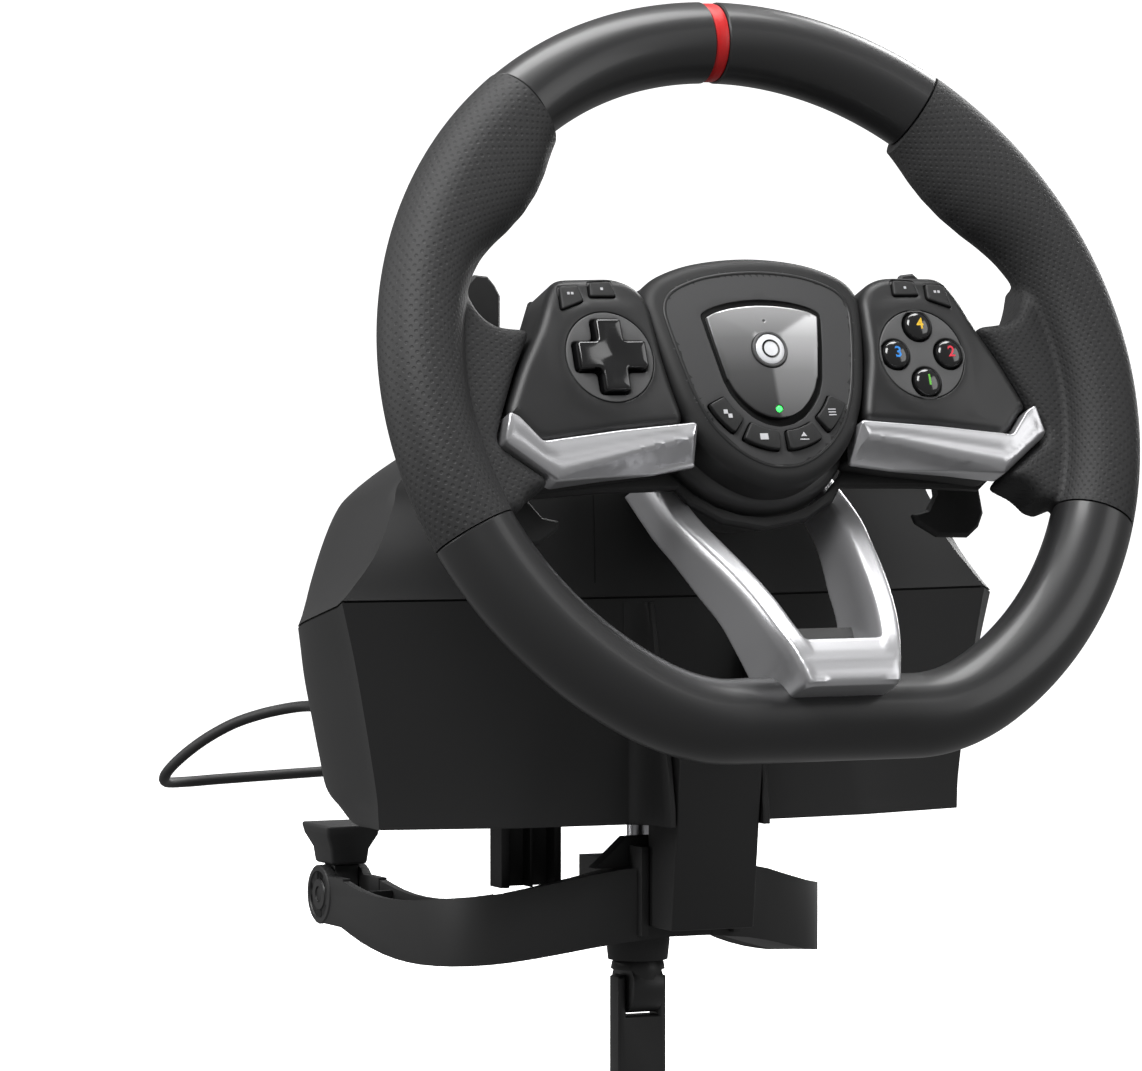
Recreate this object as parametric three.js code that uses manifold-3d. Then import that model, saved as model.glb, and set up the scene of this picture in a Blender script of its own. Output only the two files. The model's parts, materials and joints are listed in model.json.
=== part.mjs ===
// Racing wheel with desk clamp. Millimetres, +Z up. The driver sits at -Y, +X is the driver's right.
// The origin is the middle of the rubber pad that rests on the desk.
import * as THREE from "three";
import { mergeVertices } from "three/addons/utils/BufferGeometryUtils.js";
import Module from "manifold-3d";

const wasm = await Module();
wasm.setup();

// Driving dimensions.
const GAP = 0.3;
const WHEEL_CENTRE = [0, -127.5, 151.9];
const RECLINE = 21.4;
const RIM_RADIUS = 126;
const TUBE = 14;
const FLAT = -117.5;
const SEAM = 53.2;
const LOW_SEAM = -23;
const SHAFT = 8;
const SEAM_FRONT = 78.8;
const ROD_Y = -26.6;
const PIVOT = [66, 86, -35.8];
const CORD = 2;

const rad = THREE.MathUtils.degToRad;
const root = new THREE.Group();
const inWheel = new THREE.Matrix4().makeRotationX(rad(90 - RECLINE)).setPosition(...WHEEL_CENTRE);

// ---- helpers -------------------------------------------------------------------------------
function solid(geometry, place) {
  const g = geometry.clone();
  g.deleteAttribute("normal");
  g.deleteAttribute("uv");
  if (place) g.applyMatrix4(place);
  const m = mergeVertices(g, 1e-3);
  return new wasm.Manifold(
    new wasm.Mesh({ numProp: 3, vertProperties: m.attributes.position.array, triVerts: new Uint32Array(m.index.array) }),
  );
}

const shift = (x, y, z) => new THREE.Matrix4().makeTranslation(x, y, z);

function box(x0, x1, y0, y1, z0, z1) {
  return solid(new THREE.BoxGeometry(x1 - x0, y1 - y0, z1 - z0), shift((x0 + x1) / 2, (y0 + y1) / 2, (z0 + z1) / 2));
}

// A body turned about z from a profile of [radius, z] corners.
function turned(profile, sides = 24) {
  const points = profile.map(([r, z]) => new THREE.Vector2(r, z));
  points.push(points[0].clone());
  const g = new THREE.LatheGeometry(points, sides);
  g.rotateX(Math.PI / 2);
  let s = solid(g);
  if (s.volume() < 0) s = solid(flipped(g));
  return s;
}

function flipped(geometry) {
  const g = mergeVertices(geometry.clone().deleteAttribute("normal").deleteAttribute("uv"), 1e-3);
  const a = g.index.array;
  for (let i = 0; i < a.length; i += 3) [a[i + 1], a[i + 2]] = [a[i + 2], a[i + 1]];
  return g;
}

const rod = (r, z0, z1, x = 0, y = 0, sides = 24) =>
  solid(new THREE.CylinderGeometry(r, r, z1 - z0, sides).rotateX(Math.PI / 2), shift(x, y, (z0 + z1) / 2));
const rodX = (r, x0, x1, y, z, sides = 20) =>
  solid(new THREE.CylinderGeometry(r, r, x1 - x0, sides).rotateZ(Math.PI / 2), shift((x0 + x1) / 2, y, z));
const rodY = (r, y0, y1, x, z, sides = 16) =>
  solid(new THREE.CylinderGeometry(r, r, y1 - y0, sides), shift(x, (y0 + y1) / 2, z));

// A flat piece of a closed outline; a bevel rounds its edges and keeps the outline and depth.
function plate(outline, z0, z1, bevel = 0, steps = 2) {
  const shape = outline.isShape ? outline : new THREE.Shape(outline.map(([x, y]) => new THREE.Vector2(x, y)));
  const g = new THREE.ExtrudeGeometry(shape, {
    depth: z1 - z0 - 2 * bevel,
    bevelEnabled: bevel > 0,
    bevelThickness: bevel,
    bevelSize: bevel,
    bevelOffset: -bevel,
    bevelSegments: steps,
    curveSegments: 6,
  });
  return solid(g, shift(0, 0, z0 + bevel));
}

// The outline grown (or shrunk) sideways by d.
function grown(outline, d) {
  const n = outline.length;
  const area = outline.reduce((s, [x, y], i) => {
    const [a, b] = outline[(i + 1) % n];
    return s + x * b - a * y;
  }, 0);
  const k = area > 0 ? d : -d;
  return outline.map(([x, y], i) => {
    const [px, py] = outline[(i + n - 1) % n];
    const [nx, ny] = outline[(i + 1) % n];
    const a = [y - py, px - x];
    const b = [ny - y, x - nx];
    const la = Math.hypot(...a);
    const lb = Math.hypot(...b);
    const m = [a[0] / la + b[0] / lb, a[1] / la + b[1] / lb];
    const s = 2 / Math.max(m[0] ** 2 + m[1] ** 2, 0.9);
    return [x + m[0] * s * k, y + m[1] * s * k];
  });
}

// A closed body through rings that all have the same number of points.
function loft(rings) {
  const n = rings[0].length;
  const index = [];
  rings.slice(1).forEach((_, r) => {
    for (let i = 0; i < n; i++) {
      const [a, b] = [r * n + i, r * n + ((i + 1) % n)];
      index.push(a, b, b + n, a, b + n, a + n);
    }
  });
  const last = (rings.length - 1) * n;
  const caps = [rings[0], rings[rings.length - 1]].map((ring) => {
    const c = ring.reduce((s, p) => s.map((v, k) => v + p[k] / n), [0, 0, 0]);
    return c;
  });
  const c0 = rings.length * n;
  for (let i = 0; i < n; i++) {
    index.push(c0, (i + 1) % n, i, c0 + 1, last + i, last + ((i + 1) % n));
  }
  const g = new THREE.BufferGeometry();
  g.setAttribute("position", new THREE.Float32BufferAttribute([...rings.flat(), ...caps].flat(), 3));
  g.setIndex(index);
  const s = solid(g);
  return s.volume() < 0 ? solid(flipped(g)) : s;
}

function tube(route, radius, steps, sides) {
  const path = Array.isArray(route)
    ? new THREE.CatmullRomCurve3(route.map((p) => new THREE.Vector3(...p)), false, "centripetal")
    : route;
  const ring = new THREE.Shape();
  for (let i = 0; i <= sides; i++) {
    const a = (2 * Math.PI * i) / sides;
    if (i === 0) ring.moveTo(radius, 0);
    else if (i < sides) ring.lineTo(radius * Math.cos(a), radius * Math.sin(a));
  }
  return solid(new THREE.ExtrudeGeometry(ring, { extrudePath: path, steps, curveSegments: 1 }));
}

const mirrored = (s) => s.mirror([1, 0, 0]);
const union = (...all) => all.reduce((a, b) => a.add(b));

function add(name, made, colour, roughness = 0.6, metalness = 0, place = null) {
  const m = made.simplify(0.02).getMesh();
  const g = new THREE.BufferGeometry();
  g.setAttribute("position", new THREE.BufferAttribute(Float32Array.from(m.vertProperties), 3));
  g.setIndex(new THREE.BufferAttribute(m.triVerts, 1));
  const mesh = new THREE.Mesh(g, new THREE.MeshStandardMaterial({ color: colour, roughness, metalness }));
  mesh.name = name;
  if (place) mesh.applyMatrix4(place);
  root.add(mesh);
}
// Keeps only the largest body of a cut solid.
const whole = (made) => made.decompose().sort((a, b) => b.volume() - a.volume())[0];
const onWheel = (name, made, colour, roughness, metalness) => add(name, made, colour, roughness, metalness, inWheel);
const both = (name, made, ...look) => {
  onWheel(name + "_right", made, ...look);
  onWheel(name + "_left", mirrored(made), ...look);
};

const BLACK = 0x1b1b1c;
const SATIN = 0x262627;
const SILVER = 0xb4b5b8;
const STEEL = 0x9b9da1;
const GLOSS = 0x101011;
const PAD_GREY = 0x2b2b2c;

// ---- rim -----------------------------------------------------------------------------------
const onCircle = (deg, r = RIM_RADIUS) => [r * Math.cos(rad(deg)), r * Math.sin(rad(deg)), 0];
class Arc extends THREE.Curve {
  constructor(from, to) {
    super();
    this.span = [from, to];
  }
  getPoint(t) {
    const [a, b] = this.span;
    return new THREE.Vector3(...onCircle(a + (b - a) * t));
  }
}
const bandHalf = 1.09;
both("rim_arc", tube(new Arc(SEAM + 0.14, 90 - bandHalf - 0.14), TUBE, 9, 16), SATIN, 0.45);
onWheel("centre_band", tube(new Arc(90 - bandHalf, 90 + bandHalf), TUBE - 0.5, 1, 16), 0xc01518, 0.4);

// The flat bottom joins the round rim through a soft corner on each side.
const CORNER = -58;
const cornerStart = new THREE.Vector3(...onCircle(CORNER));
const reach = (cornerStart.y - FLAT) / Math.cos(rad(-CORNER));
const flatStart = cornerStart.x - reach * Math.sin(rad(-CORNER)) - 16;
const lowerPath = new THREE.CurvePath();
lowerPath.add(new Arc(LOW_SEAM - 0.14, CORNER));
lowerPath.add(new THREE.QuadraticBezierCurve3(cornerStart, new THREE.Vector3(flatStart + 16, FLAT, 0), new THREE.Vector3(flatStart, FLAT, 0)));
lowerPath.add(new THREE.LineCurve3(new THREE.Vector3(flatStart, FLAT, 0), new THREE.Vector3(-flatStart, FLAT, 0)));
lowerPath.add(new THREE.QuadraticBezierCurve3(new THREE.Vector3(-flatStart, FLAT, 0), new THREE.Vector3(-flatStart - 16, FLAT, 0), new THREE.Vector3(...onCircle(180 - CORNER))));
lowerPath.add(new Arc(180 - CORNER, 180 - LOW_SEAM + 0.14));
onWheel("lower_rim", tube(lowerPath, TUBE + 0.4, 26, 14), SATIN, 0.45);

// Inner radius of the hand grip by angle: the thumb rest swells inwards below the upper seam.
const innerCurve = new THREE.SplineCurve(
  [
    [-24, 111.4], [0, 111.4], [14, 111.2], [21, 110.6], [25, 109.2], [29, 106.4], [33, 103.2],
    [38, 101.3], [43, 101.5], [47, 103], [51, 106.5], [54, 109.6],
  ].map(([x, y]) => new THREE.Vector2(x, y)),
);
function innerRadius(deg) {
  let u = 0;
  while (innerCurve.getPoint(u).x < deg && u < 1) u += 0.002;
  return innerCurve.getPoint(u).y;
}
const gripRings = Array.from({ length: 18 }, (_, k) => {
  const deg = LOW_SEAM + ((SEAM - LOW_SEAM) * k) / 17;
  const inner = innerRadius(deg);
  const outer = RIM_RADIUS + TUBE + 0.5;
  const mid = RIM_RADIUS;
  return Array.from({ length: 16 }, (_, i) => {
    const a = (2 * Math.PI * i) / 16;
    const c = Math.cos(a);
    const r = c > 0 ? mid + (outer - mid) * c : mid + (mid - inner) * c;
    const [x, y] = onCircle(deg, r);
    return [x, y, (TUBE + 0.4) * Math.sin(a) * (c < 0 ? 1 - 0.22 * c * c * ((mid - inner) / 25) : 1)];
  });
});
const stub = [
  [85, -33.2], [94.5, -38], [99, -44], [112, -38], [124, -28], [126, 10], [118, 34],
  [106, 38], [103.2, 31], [100.6, 25], [96, 21.8], [83.4, 21.4],
  [91.8, 7.6], [99.4, -9.1], [103.3, -19],
];
both("grip", loft(gripRings).add(plate(stub, -16, 3, 2.5, 2)), BLACK, 0.85);

// ---- hub -----------------------------------------------------------------------------------
const mirrorOutline = (half) => [...half, ...half.filter(([x]) => x !== 0).map(([x, y]) => [-x, y]).reverse()];
const bezelOutline = mirrorOutline([
  [0, -36.4], [5.5, -36], [11.5, -34], [17.5, -30.6], [23.5, -25.6], [29, -18.8], [32.4, -12], [35.3, -4],
  [38.4, 9.5], [40.7, 23], [41, 32], [38.2, 37.2], [32, 41.3], [19, 45], [0, 46.5],
]);
const shieldOutline = mirrorOutline([
  [0, -16.1], [5, -15.2], [9.5, -12.9], [13.2, -9.4], [16.4, -5], [18.4, 0], [20.6, 12], [22.2, 24.4], [0, 27.7],
]);
const keyShape = (deg, half) => {
  const at = (r, d) => [r * Math.cos(rad(d)), 3.6 + r * Math.sin(rad(d))];
  return [at(21.6, deg - half), at(21.6, deg), at(21.6, deg + half), at(28.2, deg + half), at(28.4, deg), at(28.2, deg - half)];
};
const KEYS = [["view", -142, 13], ["capture", -107.5, 14], ["share", -72.5, 14], ["menu", -38, 13]];
let bezel = plate(bezelOutline, -11, 7, 3.5, 3)
  .subtract(plate(grown(bezelOutline, -3.5), -12, 3, 0))
  .subtract(plate(shieldOutline, 5, 9))
  .subtract(rod(6.5, 0, 9, 0, 10.9))
  .subtract(rod(1.5, 0, 9, 0, -10.3, 10));
for (const [, deg, half] of KEYS) bezel = bezel.subtract(plate(grown(keyShape(deg, half), 0.35), 0, 9));
onWheel("hub_bezel", bezel, BLACK, 0.5);
onWheel(
  "shield_plate",
  plate(grown(shieldOutline, -GAP), 5 + GAP, 7.1, 0.5, 1)
    .subtract(rod(6.5, 0, 9, 0, 10.9))
    .subtract(rod(1.3, 0, 9, 0, -10.3, 10)),
  0x8a8b8e, 0.35, 0.8,
);
onWheel("home_button", turned([[0, 0.4], [7.6, 0.4], [7.6, 1.8], [6.1, 1.8], [6.1, 7.2], [5, 8], [0, 8.5]]).translate([0, 10.9, 0]), 0xd8d9dc, 0.3, 0.4);
onWheel("status_light", rod(1, 3.4, 7.3, 0, -10.3, 10), 0x2fc23a, 0.3);
for (const [name, deg, half] of KEYS) {
  const key = plate(keyShape(deg, half), 1.9, 7.5, 0.5, 1).add(plate(grown(keyShape(deg, half), 1.1), 0.5, 1.9));
  onWheel(name + "_key", key, BLACK, 0.5);
}

const bowl = [[9.2, -56], [24, -56], [31, -51], [37.5, -42], [39.8, -30], [39.6, -18], [36.6, -11.6]];
const bowlShell = turned([...bowl, [33.4, -11.6], [36.2, -18], [36.4, -30], [34.4, -40], [28.4, -48.2], [22.8, -52.4], [9.2, -52.4]], 28);
const bowlGrown = turned([[0, -56.4], [24.2, -56.4], [31.4, -51.3], [37.9, -42.1], [40.2, -30], [40, -17.8], [36.9, -11.2], [0, -11.2]], 28);
const boss = turned([[SHAFT + 0.3, -52.4], [13, -52.4], [13, -38], [SHAFT + 0.3, -38]], 24);
onWheel("hub_rear_cover", bowlShell.add(boss), SATIN, 0.4);

// ---- control pods --------------------------------------------------------------------------
const podOutline = [
  [33.5, -13.7], [60, -16], [88, -19.3], [95.3, -10.6], [98.2, -8.6], [90.4, 7.6], [82, 21.9], [77.6, 32],
  [73, 39], [51, 39.4], [44, 36.5], [40, 31],
];
const bezelGrown = plate(grown(bezelOutline, 0.4), -12, 9);
const shoulders = { inner: [57.3, 34.2, 4.8], outer: [69.2, 32.6, 4.3] };
const shoulderShape = ([x, y, w], d = 0) => [
  [x - w - d, y - 2.8 - d], [x + w + d, y - 2.8 - d - (x > 60 ? 1.2 : 0)], [x + w - 0.9 + d, y + 2.6 + d], [x - w + 0.8 - d, y + 3 + d],
];
const POD_X = 58.8;
const POD_Y = 9.5;
function pod() {
  let s = plate(podOutline, -16, 3.2, 2.6, 2)
    .subtract(bezelGrown)
    .subtract(bowlGrown)
    .subtract(rod(17.4, -17, -0.9, POD_X, POD_Y, 28))
    .subtract(plate(grown(podOutline, -3.2).map(([x, y]) => [Math.max(x, 44), y]), -17, -0.5));
  s = s.subtract(rod(16.2, -1, 9, POD_X, POD_Y, 32));
  for (const at of Object.values(shoulders)) {
    s = s.subtract(plate(shoulderShape(at, 0.35), -2, 9)).subtract(plate(shoulderShape(at, 1.35), -5, -0.8));
  }
  return s;
}
both("control_pod", pod(), SATIN, 0.5);
for (const [place, at] of Object.entries(shoulders)) {
  const cap = plate(shoulderShape(at), -1.4, 4.6, 0.5, 1).add(plate(shoulderShape(at, 1), -2.6, -1.2));
  both(place + "_shoulder_button", cap, BLACK, 0.55);
}
const dish = turned([[0, -0.2], [15.8, -0.2], [15.8, 5.2], [14.9, 5.9], [14, 5.2], [13.6, 3.8], [0, 3.8]], 32);
const crossShape = (half, arm, d = 0) => {
  const [h, a] = [half + d, arm + d];
  return [[-a, -h], [a, -h], [a, -a], [h, -a], [h, a], [a, a], [a, h], [-a, h], [-a, a], [-h, a], [-h, -a], [-a, -a]];
};
onWheel("dpad_dish", dish.subtract(plate(crossShape(12.6, 4.7, 0.45), -1, 9)).translate([-POD_X, POD_Y, 0]), 0x2c2c2e, 0.6);
const dpadAt = [-POD_X, POD_Y, 0];
onWheel("dpad", plate(crossShape(12.6, 4.7), 0.8, 8.6, 0.8, 1).subtract(rod(2.6, 0, 4, 0, 0, 14)).translate(dpadAt), GLOSS, 0.15);
onWheel("dpad_rocker", turned([[0, -0.9], [4.4, -0.9], [4.4, -0.1], [2.3, 0.3], [2.3, 3.4], [0, 3.7]], 14).translate(dpadAt), 0x4a4a4d, 0.5);
const FACE = [["lower", 0, -10.2], ["right", 10.2, 0], ["left", -10.2, 0], ["upper", 0, 10.2]];
let buttonDish = dish;
for (const [, x, y] of FACE) buttonDish = buttonDish.subtract(rod(5.3, -1, 9, x, y, 20));
onWheel("button_dish", buttonDish.translate([POD_X, POD_Y, 0]), 0x2c2c2e, 0.6);
for (const [name, x, y] of FACE) {
  const cap = turned([[0, -2.2], [6, -2.2], [6, -0.7], [5, -0.7], [5, 5.6], [4.2, 6.7], [2.2, 7.5], [0, 7.7]], 20);
  onWheel("face_button_" + name, cap.translate([POD_X + x, POD_Y + y, 0]), GLOSS, 0.15);
}

// ---- arms, back shell and lower spoke --------------------------------------------------------
const armOutline = [
  [29, -26.5], [44.6, -28.9], [65, -30.6], [84, -33], [101.8, -19.6], [98.9, -9.6], [95.4, -11.4], [88.2, -20.2], [60, -16.8], [31, -14.3],
];
both("silver_arm", plate(armOutline, -6, 6, 1.4, 2).subtract(bezelGrown).subtract(plate(grown(stub, 0.35), -20, 20)), SILVER, 0.3, 0.9);

const shellOutline = mirrorOutline([
  [0, -45], [16, -42], [27, -35.5], [31, -30], [60, -30.5], [84, -32], [100, -19.5], [92, 7], [82, 21], [74, 38], [50, 38.5], [42, 38], [30, 43], [0, 45.5],
]);
const PADDLE_X = 60;
const PADDLE_N = -27;
const ears = union(
  box(PADDLE_X - 4, PADDLE_X + 4, -1, 3, PADDLE_N - 3.5, -19),
  box(PADDLE_X - 4, PADDLE_X + 4, 25, 29, PADDLE_N - 3.5, -19),
).subtract(rodY(1.85, -2, 30, PADDLE_X, PADDLE_N));
let shell = plate(shellOutline, -20.4, -16.4, 1, 1).subtract(rod(40.9, -30, 0, 0, 0, 28));
shell = shell.add(ears).add(mirrored(ears));
onWheel("wheel_back_shell", shell, BLACK, 0.6);

const paddleOutline = [
  [76.7, 51], [79, 54.4], [84, 55], [89, 50], [93.4, 36], [94.8, 15], [94.8, -34], [92, -39], [87.5, -42.4], [75.5, -42], [68, -37],
  [67.2, -34], [73, -32.6], [77, -27], [78, -4], [74, 4], [62, 6], [62, 22], [74, 24], [77.6, 34], [75.4, 47],
];
const paddle = union(
  plate(paddleOutline, -39, -35.4, 1, 1),
  box(PADDLE_X - 3, PADDLE_X + 3, 6, 22, -38.4, PADDLE_N),
  rodY(3, 3.4, 24.6, PADDLE_X, PADDLE_N),
  rodY(1.8, -0.6, 28.6, PADDLE_X, PADDLE_N, 12),
);
both("shift_paddle", paddle, BLACK, 0.5);

// Ridge of the lower spoke: half width, height, depth of the front edge and of the back edge.
const RIDGE = [
  [36.2, -22, -29.5, -48], [35.6, -41.5, -13.3, -34], [33, -54, -3, -26], [29.6, -67.6, 7.9, -19], [26.6, -80, 16.4, -12], [24, -91, 22.2, -9],
  [21, -101, 26.4, -8], [17.6, -113.5, 28.6, -6],
];
const strut = (inner, front, cut) =>
  loft(
    RIDGE.map(([x, v, n, b], i) => {
      const w = inner[Math.min(i, inner.length - 1)];
      return [[x, v, n - front - 2.2], [x - 1.7, v, n - front], [x - w + 1, v, n - front], [x - w, v, n - front - 1], [x - w, v, b + cut], [x, v, b + cut]];
    }),
  );
const foot = loft(
  [[-98.6, 25.4, 0], [-105, 27.8, 0], [-110, 28.8, 0.4], [-113.5, 28, 1.4]].map(([v, n, c]) => {
    const w = 21.4 + ((v + 98.6) * 4.2) / 14.9;
    return [[-w + c, v, n], [w - c, v, n], [w, v, n - 3], [w, v, -6], [-w, v, -6], [-w, v, n - 3]];
  }),
);
const rimGrown = tube(lowerPath, TUBE + 0.9, 26, 14);
const rightStrut = strut([11, 11, 10.6, 10, 9.6, 9.4, 9.2, 9], 0, 0);
let lowerSpoke = union(rightStrut, mirrored(rightStrut), foot).subtract(rimGrown).subtract(bowlGrown);
lowerSpoke = lowerSpoke.subtract(plate(grown(shellOutline, 0.3), -20.8, -10)).subtract(bezelGrown);
lowerSpoke = whole(lowerSpoke);
onWheel("lower_spoke", lowerSpoke, SILVER, 0.3, 0.9);
// Dark shelf between the struts, just above the foot.
const SHELF = [[-86.5, 2, 16.4], [-92, 5, 14.8], [-98, 11, 13], [-101.5, 14.8, 12]];
const shelf = loft(SHELF.map(([v, n, w]) => [[-w, v, n], [w, v, n], [w, v, n - 4], [-w, v, n - 4]]));
onWheel("lower_spoke_liner", whole(shelf.subtract(rimGrown).subtract(lowerSpoke)), BLACK, 0.8);

// ---- steering shaft and drive ---------------------------------------------------------------
onWheel("steering_shaft", rod(SHAFT, -144, -37, 0, 0, 24), STEEL, 0.3, 1);
const bearing = (n) => turned([[SHAFT + 0.1, n], [14, n], [14, n + 8], [SHAFT + 0.1, n + 8]], 24);
onWheel("front_bearing", bearing(-90), STEEL, 0.3, 1);
onWheel("rear_bearing", bearing(-140), STEEL, 0.3, 1);
const coilPath = Array.from({ length: 41 }, (_, i) => {
  const a = (2 * Math.PI * i) / 10;
  return [12 * Math.cos(a), 12 * Math.sin(a), -101 + (i * 8) / 40];
});
onWheel("centring_spring", tube(coilPath, 0.8, 44, 5), STEEL, 0.35, 1);
const shaftHole = rod(14.3, -150, -60, 0, 0, 24);
const blockInWheel = union(
  box(-20, 20, -34, 17, -91, -81),
  box(-20, 20, -34, 17, -141, -131),
  box(-20, 20, -34, -28, -141, -81),
).subtract(shaftHole.intersect(box(-20, 20, -20, 20, -145, -60)));
const block = blockInWheel.transform(inWheel.elements).add(box(-16, 16, -42, -4, 4.6, 74).subtract(box(-12, 12, -44, -2, 4, 60)));
add("bearing_block", block.subtract(rod(4.6, -10, 34, 0, ROD_Y, 20)), 0x3a3a3d, 0.6);

// ---- base housings ---------------------------------------------------------------------------
// One plan ring of the base: cornered front, half ellipse behind. Sizes are half width and scale of the ellipse.
function plan(corner, cornerY, frontY, bend, scale, zAt, inset = 0) {
  const [c, y0] = [corner - inset, cornerY + inset];
  const front = [[c, 0], [bend, 3.6], [bend * 0.5, 1]];
  const ring = [...front.map(([x, d], i) => [-x, i ? frontY + inset + d : y0]), [0, frontY + inset]];
  ring.push(...front.map(([x, d], i) => [x, i ? frontY + inset + d : y0]).reverse());
  for (let i = 0; i <= 14; i++) {
    const deg = -7 + (194 * i) / 14;
    const k = Math.min(1, Math.min(deg + 7, 187 - deg) / 50);
    const ease = k * k * (3 - 2 * k);
    const half = c * (1 - ease) + (127 * scale - inset) * ease;
    const y = -40 + Math.sin(rad(deg)) * (110 * scale - inset);
    ring.push([Math.cos(rad(deg)) * half, Math.max(y, y0 + 2.5)]);
  }
  return ring.map(([x, y]) => [x, y, zAt(x, y)]);
}
const seamZ = (y) => {
  const back = Math.max(0, y + 60);
  return 60 + (SEAM_FRONT - 60) * Math.exp(-back / 58);
};
const lowRings = (inset, z0, top) =>
  [
    [0, 113.4, 0.76], [1.6, 113.5, 0.82], [5.5, 113.7, 0.875], [12, 114.2, 0.932], [26, 116.4, 0.955], [42, 119.2, 0.975], [60, 122.6, 0.995], [79, 127, 1],
  ].map(([z, c, s]) => plan(c, -60, -76, 66 - z * 0.18, s, (x, y) => Math.max(z0, (z / 79) * (seamZ(y) + top)), inset));
const seat = 0.5;
const outerLow = loft(lowRings(0, seat, -0.3));
const innerLow = loft(lowRings(3, -1, 6));
const cowlSide = (x0, x1) =>
  loft(
    [[78, -73], [60, -79.5], [40, -86], [20, -90.5], [6, -92.8], [0.5, -93]].map(([z, y]) => [[x0, y, z], [x1, y, z], [x1, -62, z], [x0, -62, z]]),
  );
const cowl = cowlSide(16.6, 19.4).add(mirrored(cowlSide(16.6, 19.4)));
const columnSlot = box(-16.6, 16.6, -100, -55, -1, 60);
const cordExit = [-78, 41, 33];
const exitHole = rodY(5.2, 30, 70, cordExit[0], cordExit[2], 16);
const housing = outerLow.subtract(innerLow).add(cowl.subtract(innerLow)).subtract(columnSlot).subtract(exitHole);
add("lower_housing", whole(housing), BLACK, 0.75);
const topRings = (inset, rise, drop) =>
  [
    [0, 127, -60, -76, 52, 1], [16, 113.7, -57.2, -72, 48, 0.985], [33, 104.2, -50.8, -67, 44, 0.93], [41, 101, -48.5, -64, 42, 0.86],
    [51, 90, -46, -61, 38, 0.71], [61, 66, -42, -56, 28, 0.52], [69, 40, -37, -48, 17, 0.34], [74, 16, -32, -38, 8, 0.18],
  ].map(([dz, c, cyy, fy, bend, s]) =>
    plan(c, cyy, fy, bend, s, (x, y) => seamZ(y) * (1 - dz / 74) + (SEAM_FRONT + 74) * (dz / 74) + (dz ? -drop : rise), inset),
  );
const collarHole = rod(20, -90, -40, 0, 0, 28).transform(inWheel.elements);
const coverShell = loft(topRings(0, 0.3, 0)).subtract(loft(topRings(3, -4, 3)));
add("upper_cover", whole(coverShell.subtract(collarHole)), BLACK, 0.7);

const bottom = box(-120, 120, -80, 80, 1.9, 4.3)
  .intersect(loft(lowRings(3.5, 0, 6)))
  .subtract(box(-34, 34, -90, -46, 0, 9))
  .subtract(rod(7, 0, 9, 0, ROD_Y, 20));
const post = box(-56, -33, -34, -24, -24, 3).subtract(box(-52.8, -35.6, -40, -27, -30, 1.9)).add(box(-44.6, -43.4, -33, -26, -24, 3));
add("bottom_plate", whole(bottom.add(post)), BLACK, 0.7);
add("desk_pad", plate([[-58, -16], [58, -16], [60, -14], [60, 14], [58, 16], [-58, 16], [-60, 14], [-60, -14]], 0, 1.6), 0x151515, 0.95);

// ---- clamp ---------------------------------------------------------------------------------
const columnSide = [[-93.6, 34], [-93.6, 20], [-87, -35.8], [-68, -35.8], [-68, 34]];
const column = loft([-15.8, 15.8].map((x) => columnSide.map(([y, z]) => [x, y, z])));
const columnCore = loft([-12.6, 12.6].map((x) => [[-90, 31], [-90, 20], [-83.6, -33], [-60, -33], [-60, 31]].map(([y, z]) => [x, y, z])));
add("clamp_column", column.subtract(columnCore), BLACK, 0.6);

// Centre line of one leg of the yoke: x, y, top and bottom.
const LEG = [
  [10, -57.6, -15, -40], [22, -57, -16, -41.5], [38, -48, -20.5, -45.5], [52, -37.5, -24.5, -49], [60.5, -28.5, -26.6, -50.8],
  [65, -16, -28.4, -52], [66, 6, -31, -52.8], [66, 28, -32.2, -52], [66, 48, -31.4, -49.6], [66, 66, -29, -46],
];
const legLine = new THREE.CatmullRomCurve3(LEG.map(([x, y, top]) => new THREE.Vector3(x, y, top)));
const legFloor = new THREE.CatmullRomCurve3(LEG.map(([x, y, , floor]) => new THREE.Vector3(x, y, floor)));
const STATIONS = Array.from({ length: 19 }, (_, i) => {
  const { x, y, z } = legLine.getPoint(i / 18);
  return [x, y, z, legFloor.getPoint(i / 18).z];
});
function beam(half, topDrop, floor, cut) {
  return loft(
    STATIONS.map(([x, y, zt, zb], i) => {
      const a = STATIONS[Math.max(i - 1, 0)];
      const b = STATIONS[Math.min(i + 1, STATIONS.length - 1)];
      const l = Math.hypot(b[0] - a[0], b[1] - a[1]);
      const nx = ((b[1] - a[1]) / l) * half;
      const ny = (-(b[0] - a[0]) / l) * half;
      const yy = y + (i === STATIONS.length - 1 ? cut : 0);
      return [[x + nx, yy + ny, zt + topDrop], [x - nx, yy - ny, zt + topDrop], [x - nx, yy - ny, zb + floor], [x + nx, yy + ny, zb + floor]];
    }),
  );
}
let leg = beam(8.6, 0, 0, 0).subtract(beam(5.8, 3, 3, 2).subtract(box(0, 56, -90, -20, -60, 0)));
for (const y of [-2, 16, 34, 52]) leg = leg.add(box(60.5, 71.5, y, y + 1.6, -48, -32));
for (const side of [-1, 1]) {
  const x0 = 66 + side * 7;
  const cheek = rodX(10.8, x0 - 1.6, x0 + 1.6, PIVOT[1], PIVOT[2], 24).add(box(x0 - 1.6, x0 + 1.6, 64, PIVOT[1], -46, -28.5));
  leg = leg.add(cheek);
}
leg = leg.subtract(rodX(3.1, 50, 80, PIVOT[1], PIVOT[2], 24));
const tower = plate([[-31, -16], [31, -16], [19, -5.4], [-19, -5.4]], 0, 6).transform(
  new THREE.Matrix4().makeRotationX(Math.PI / 2).setPosition(0, -52, 0).elements,
);
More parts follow.
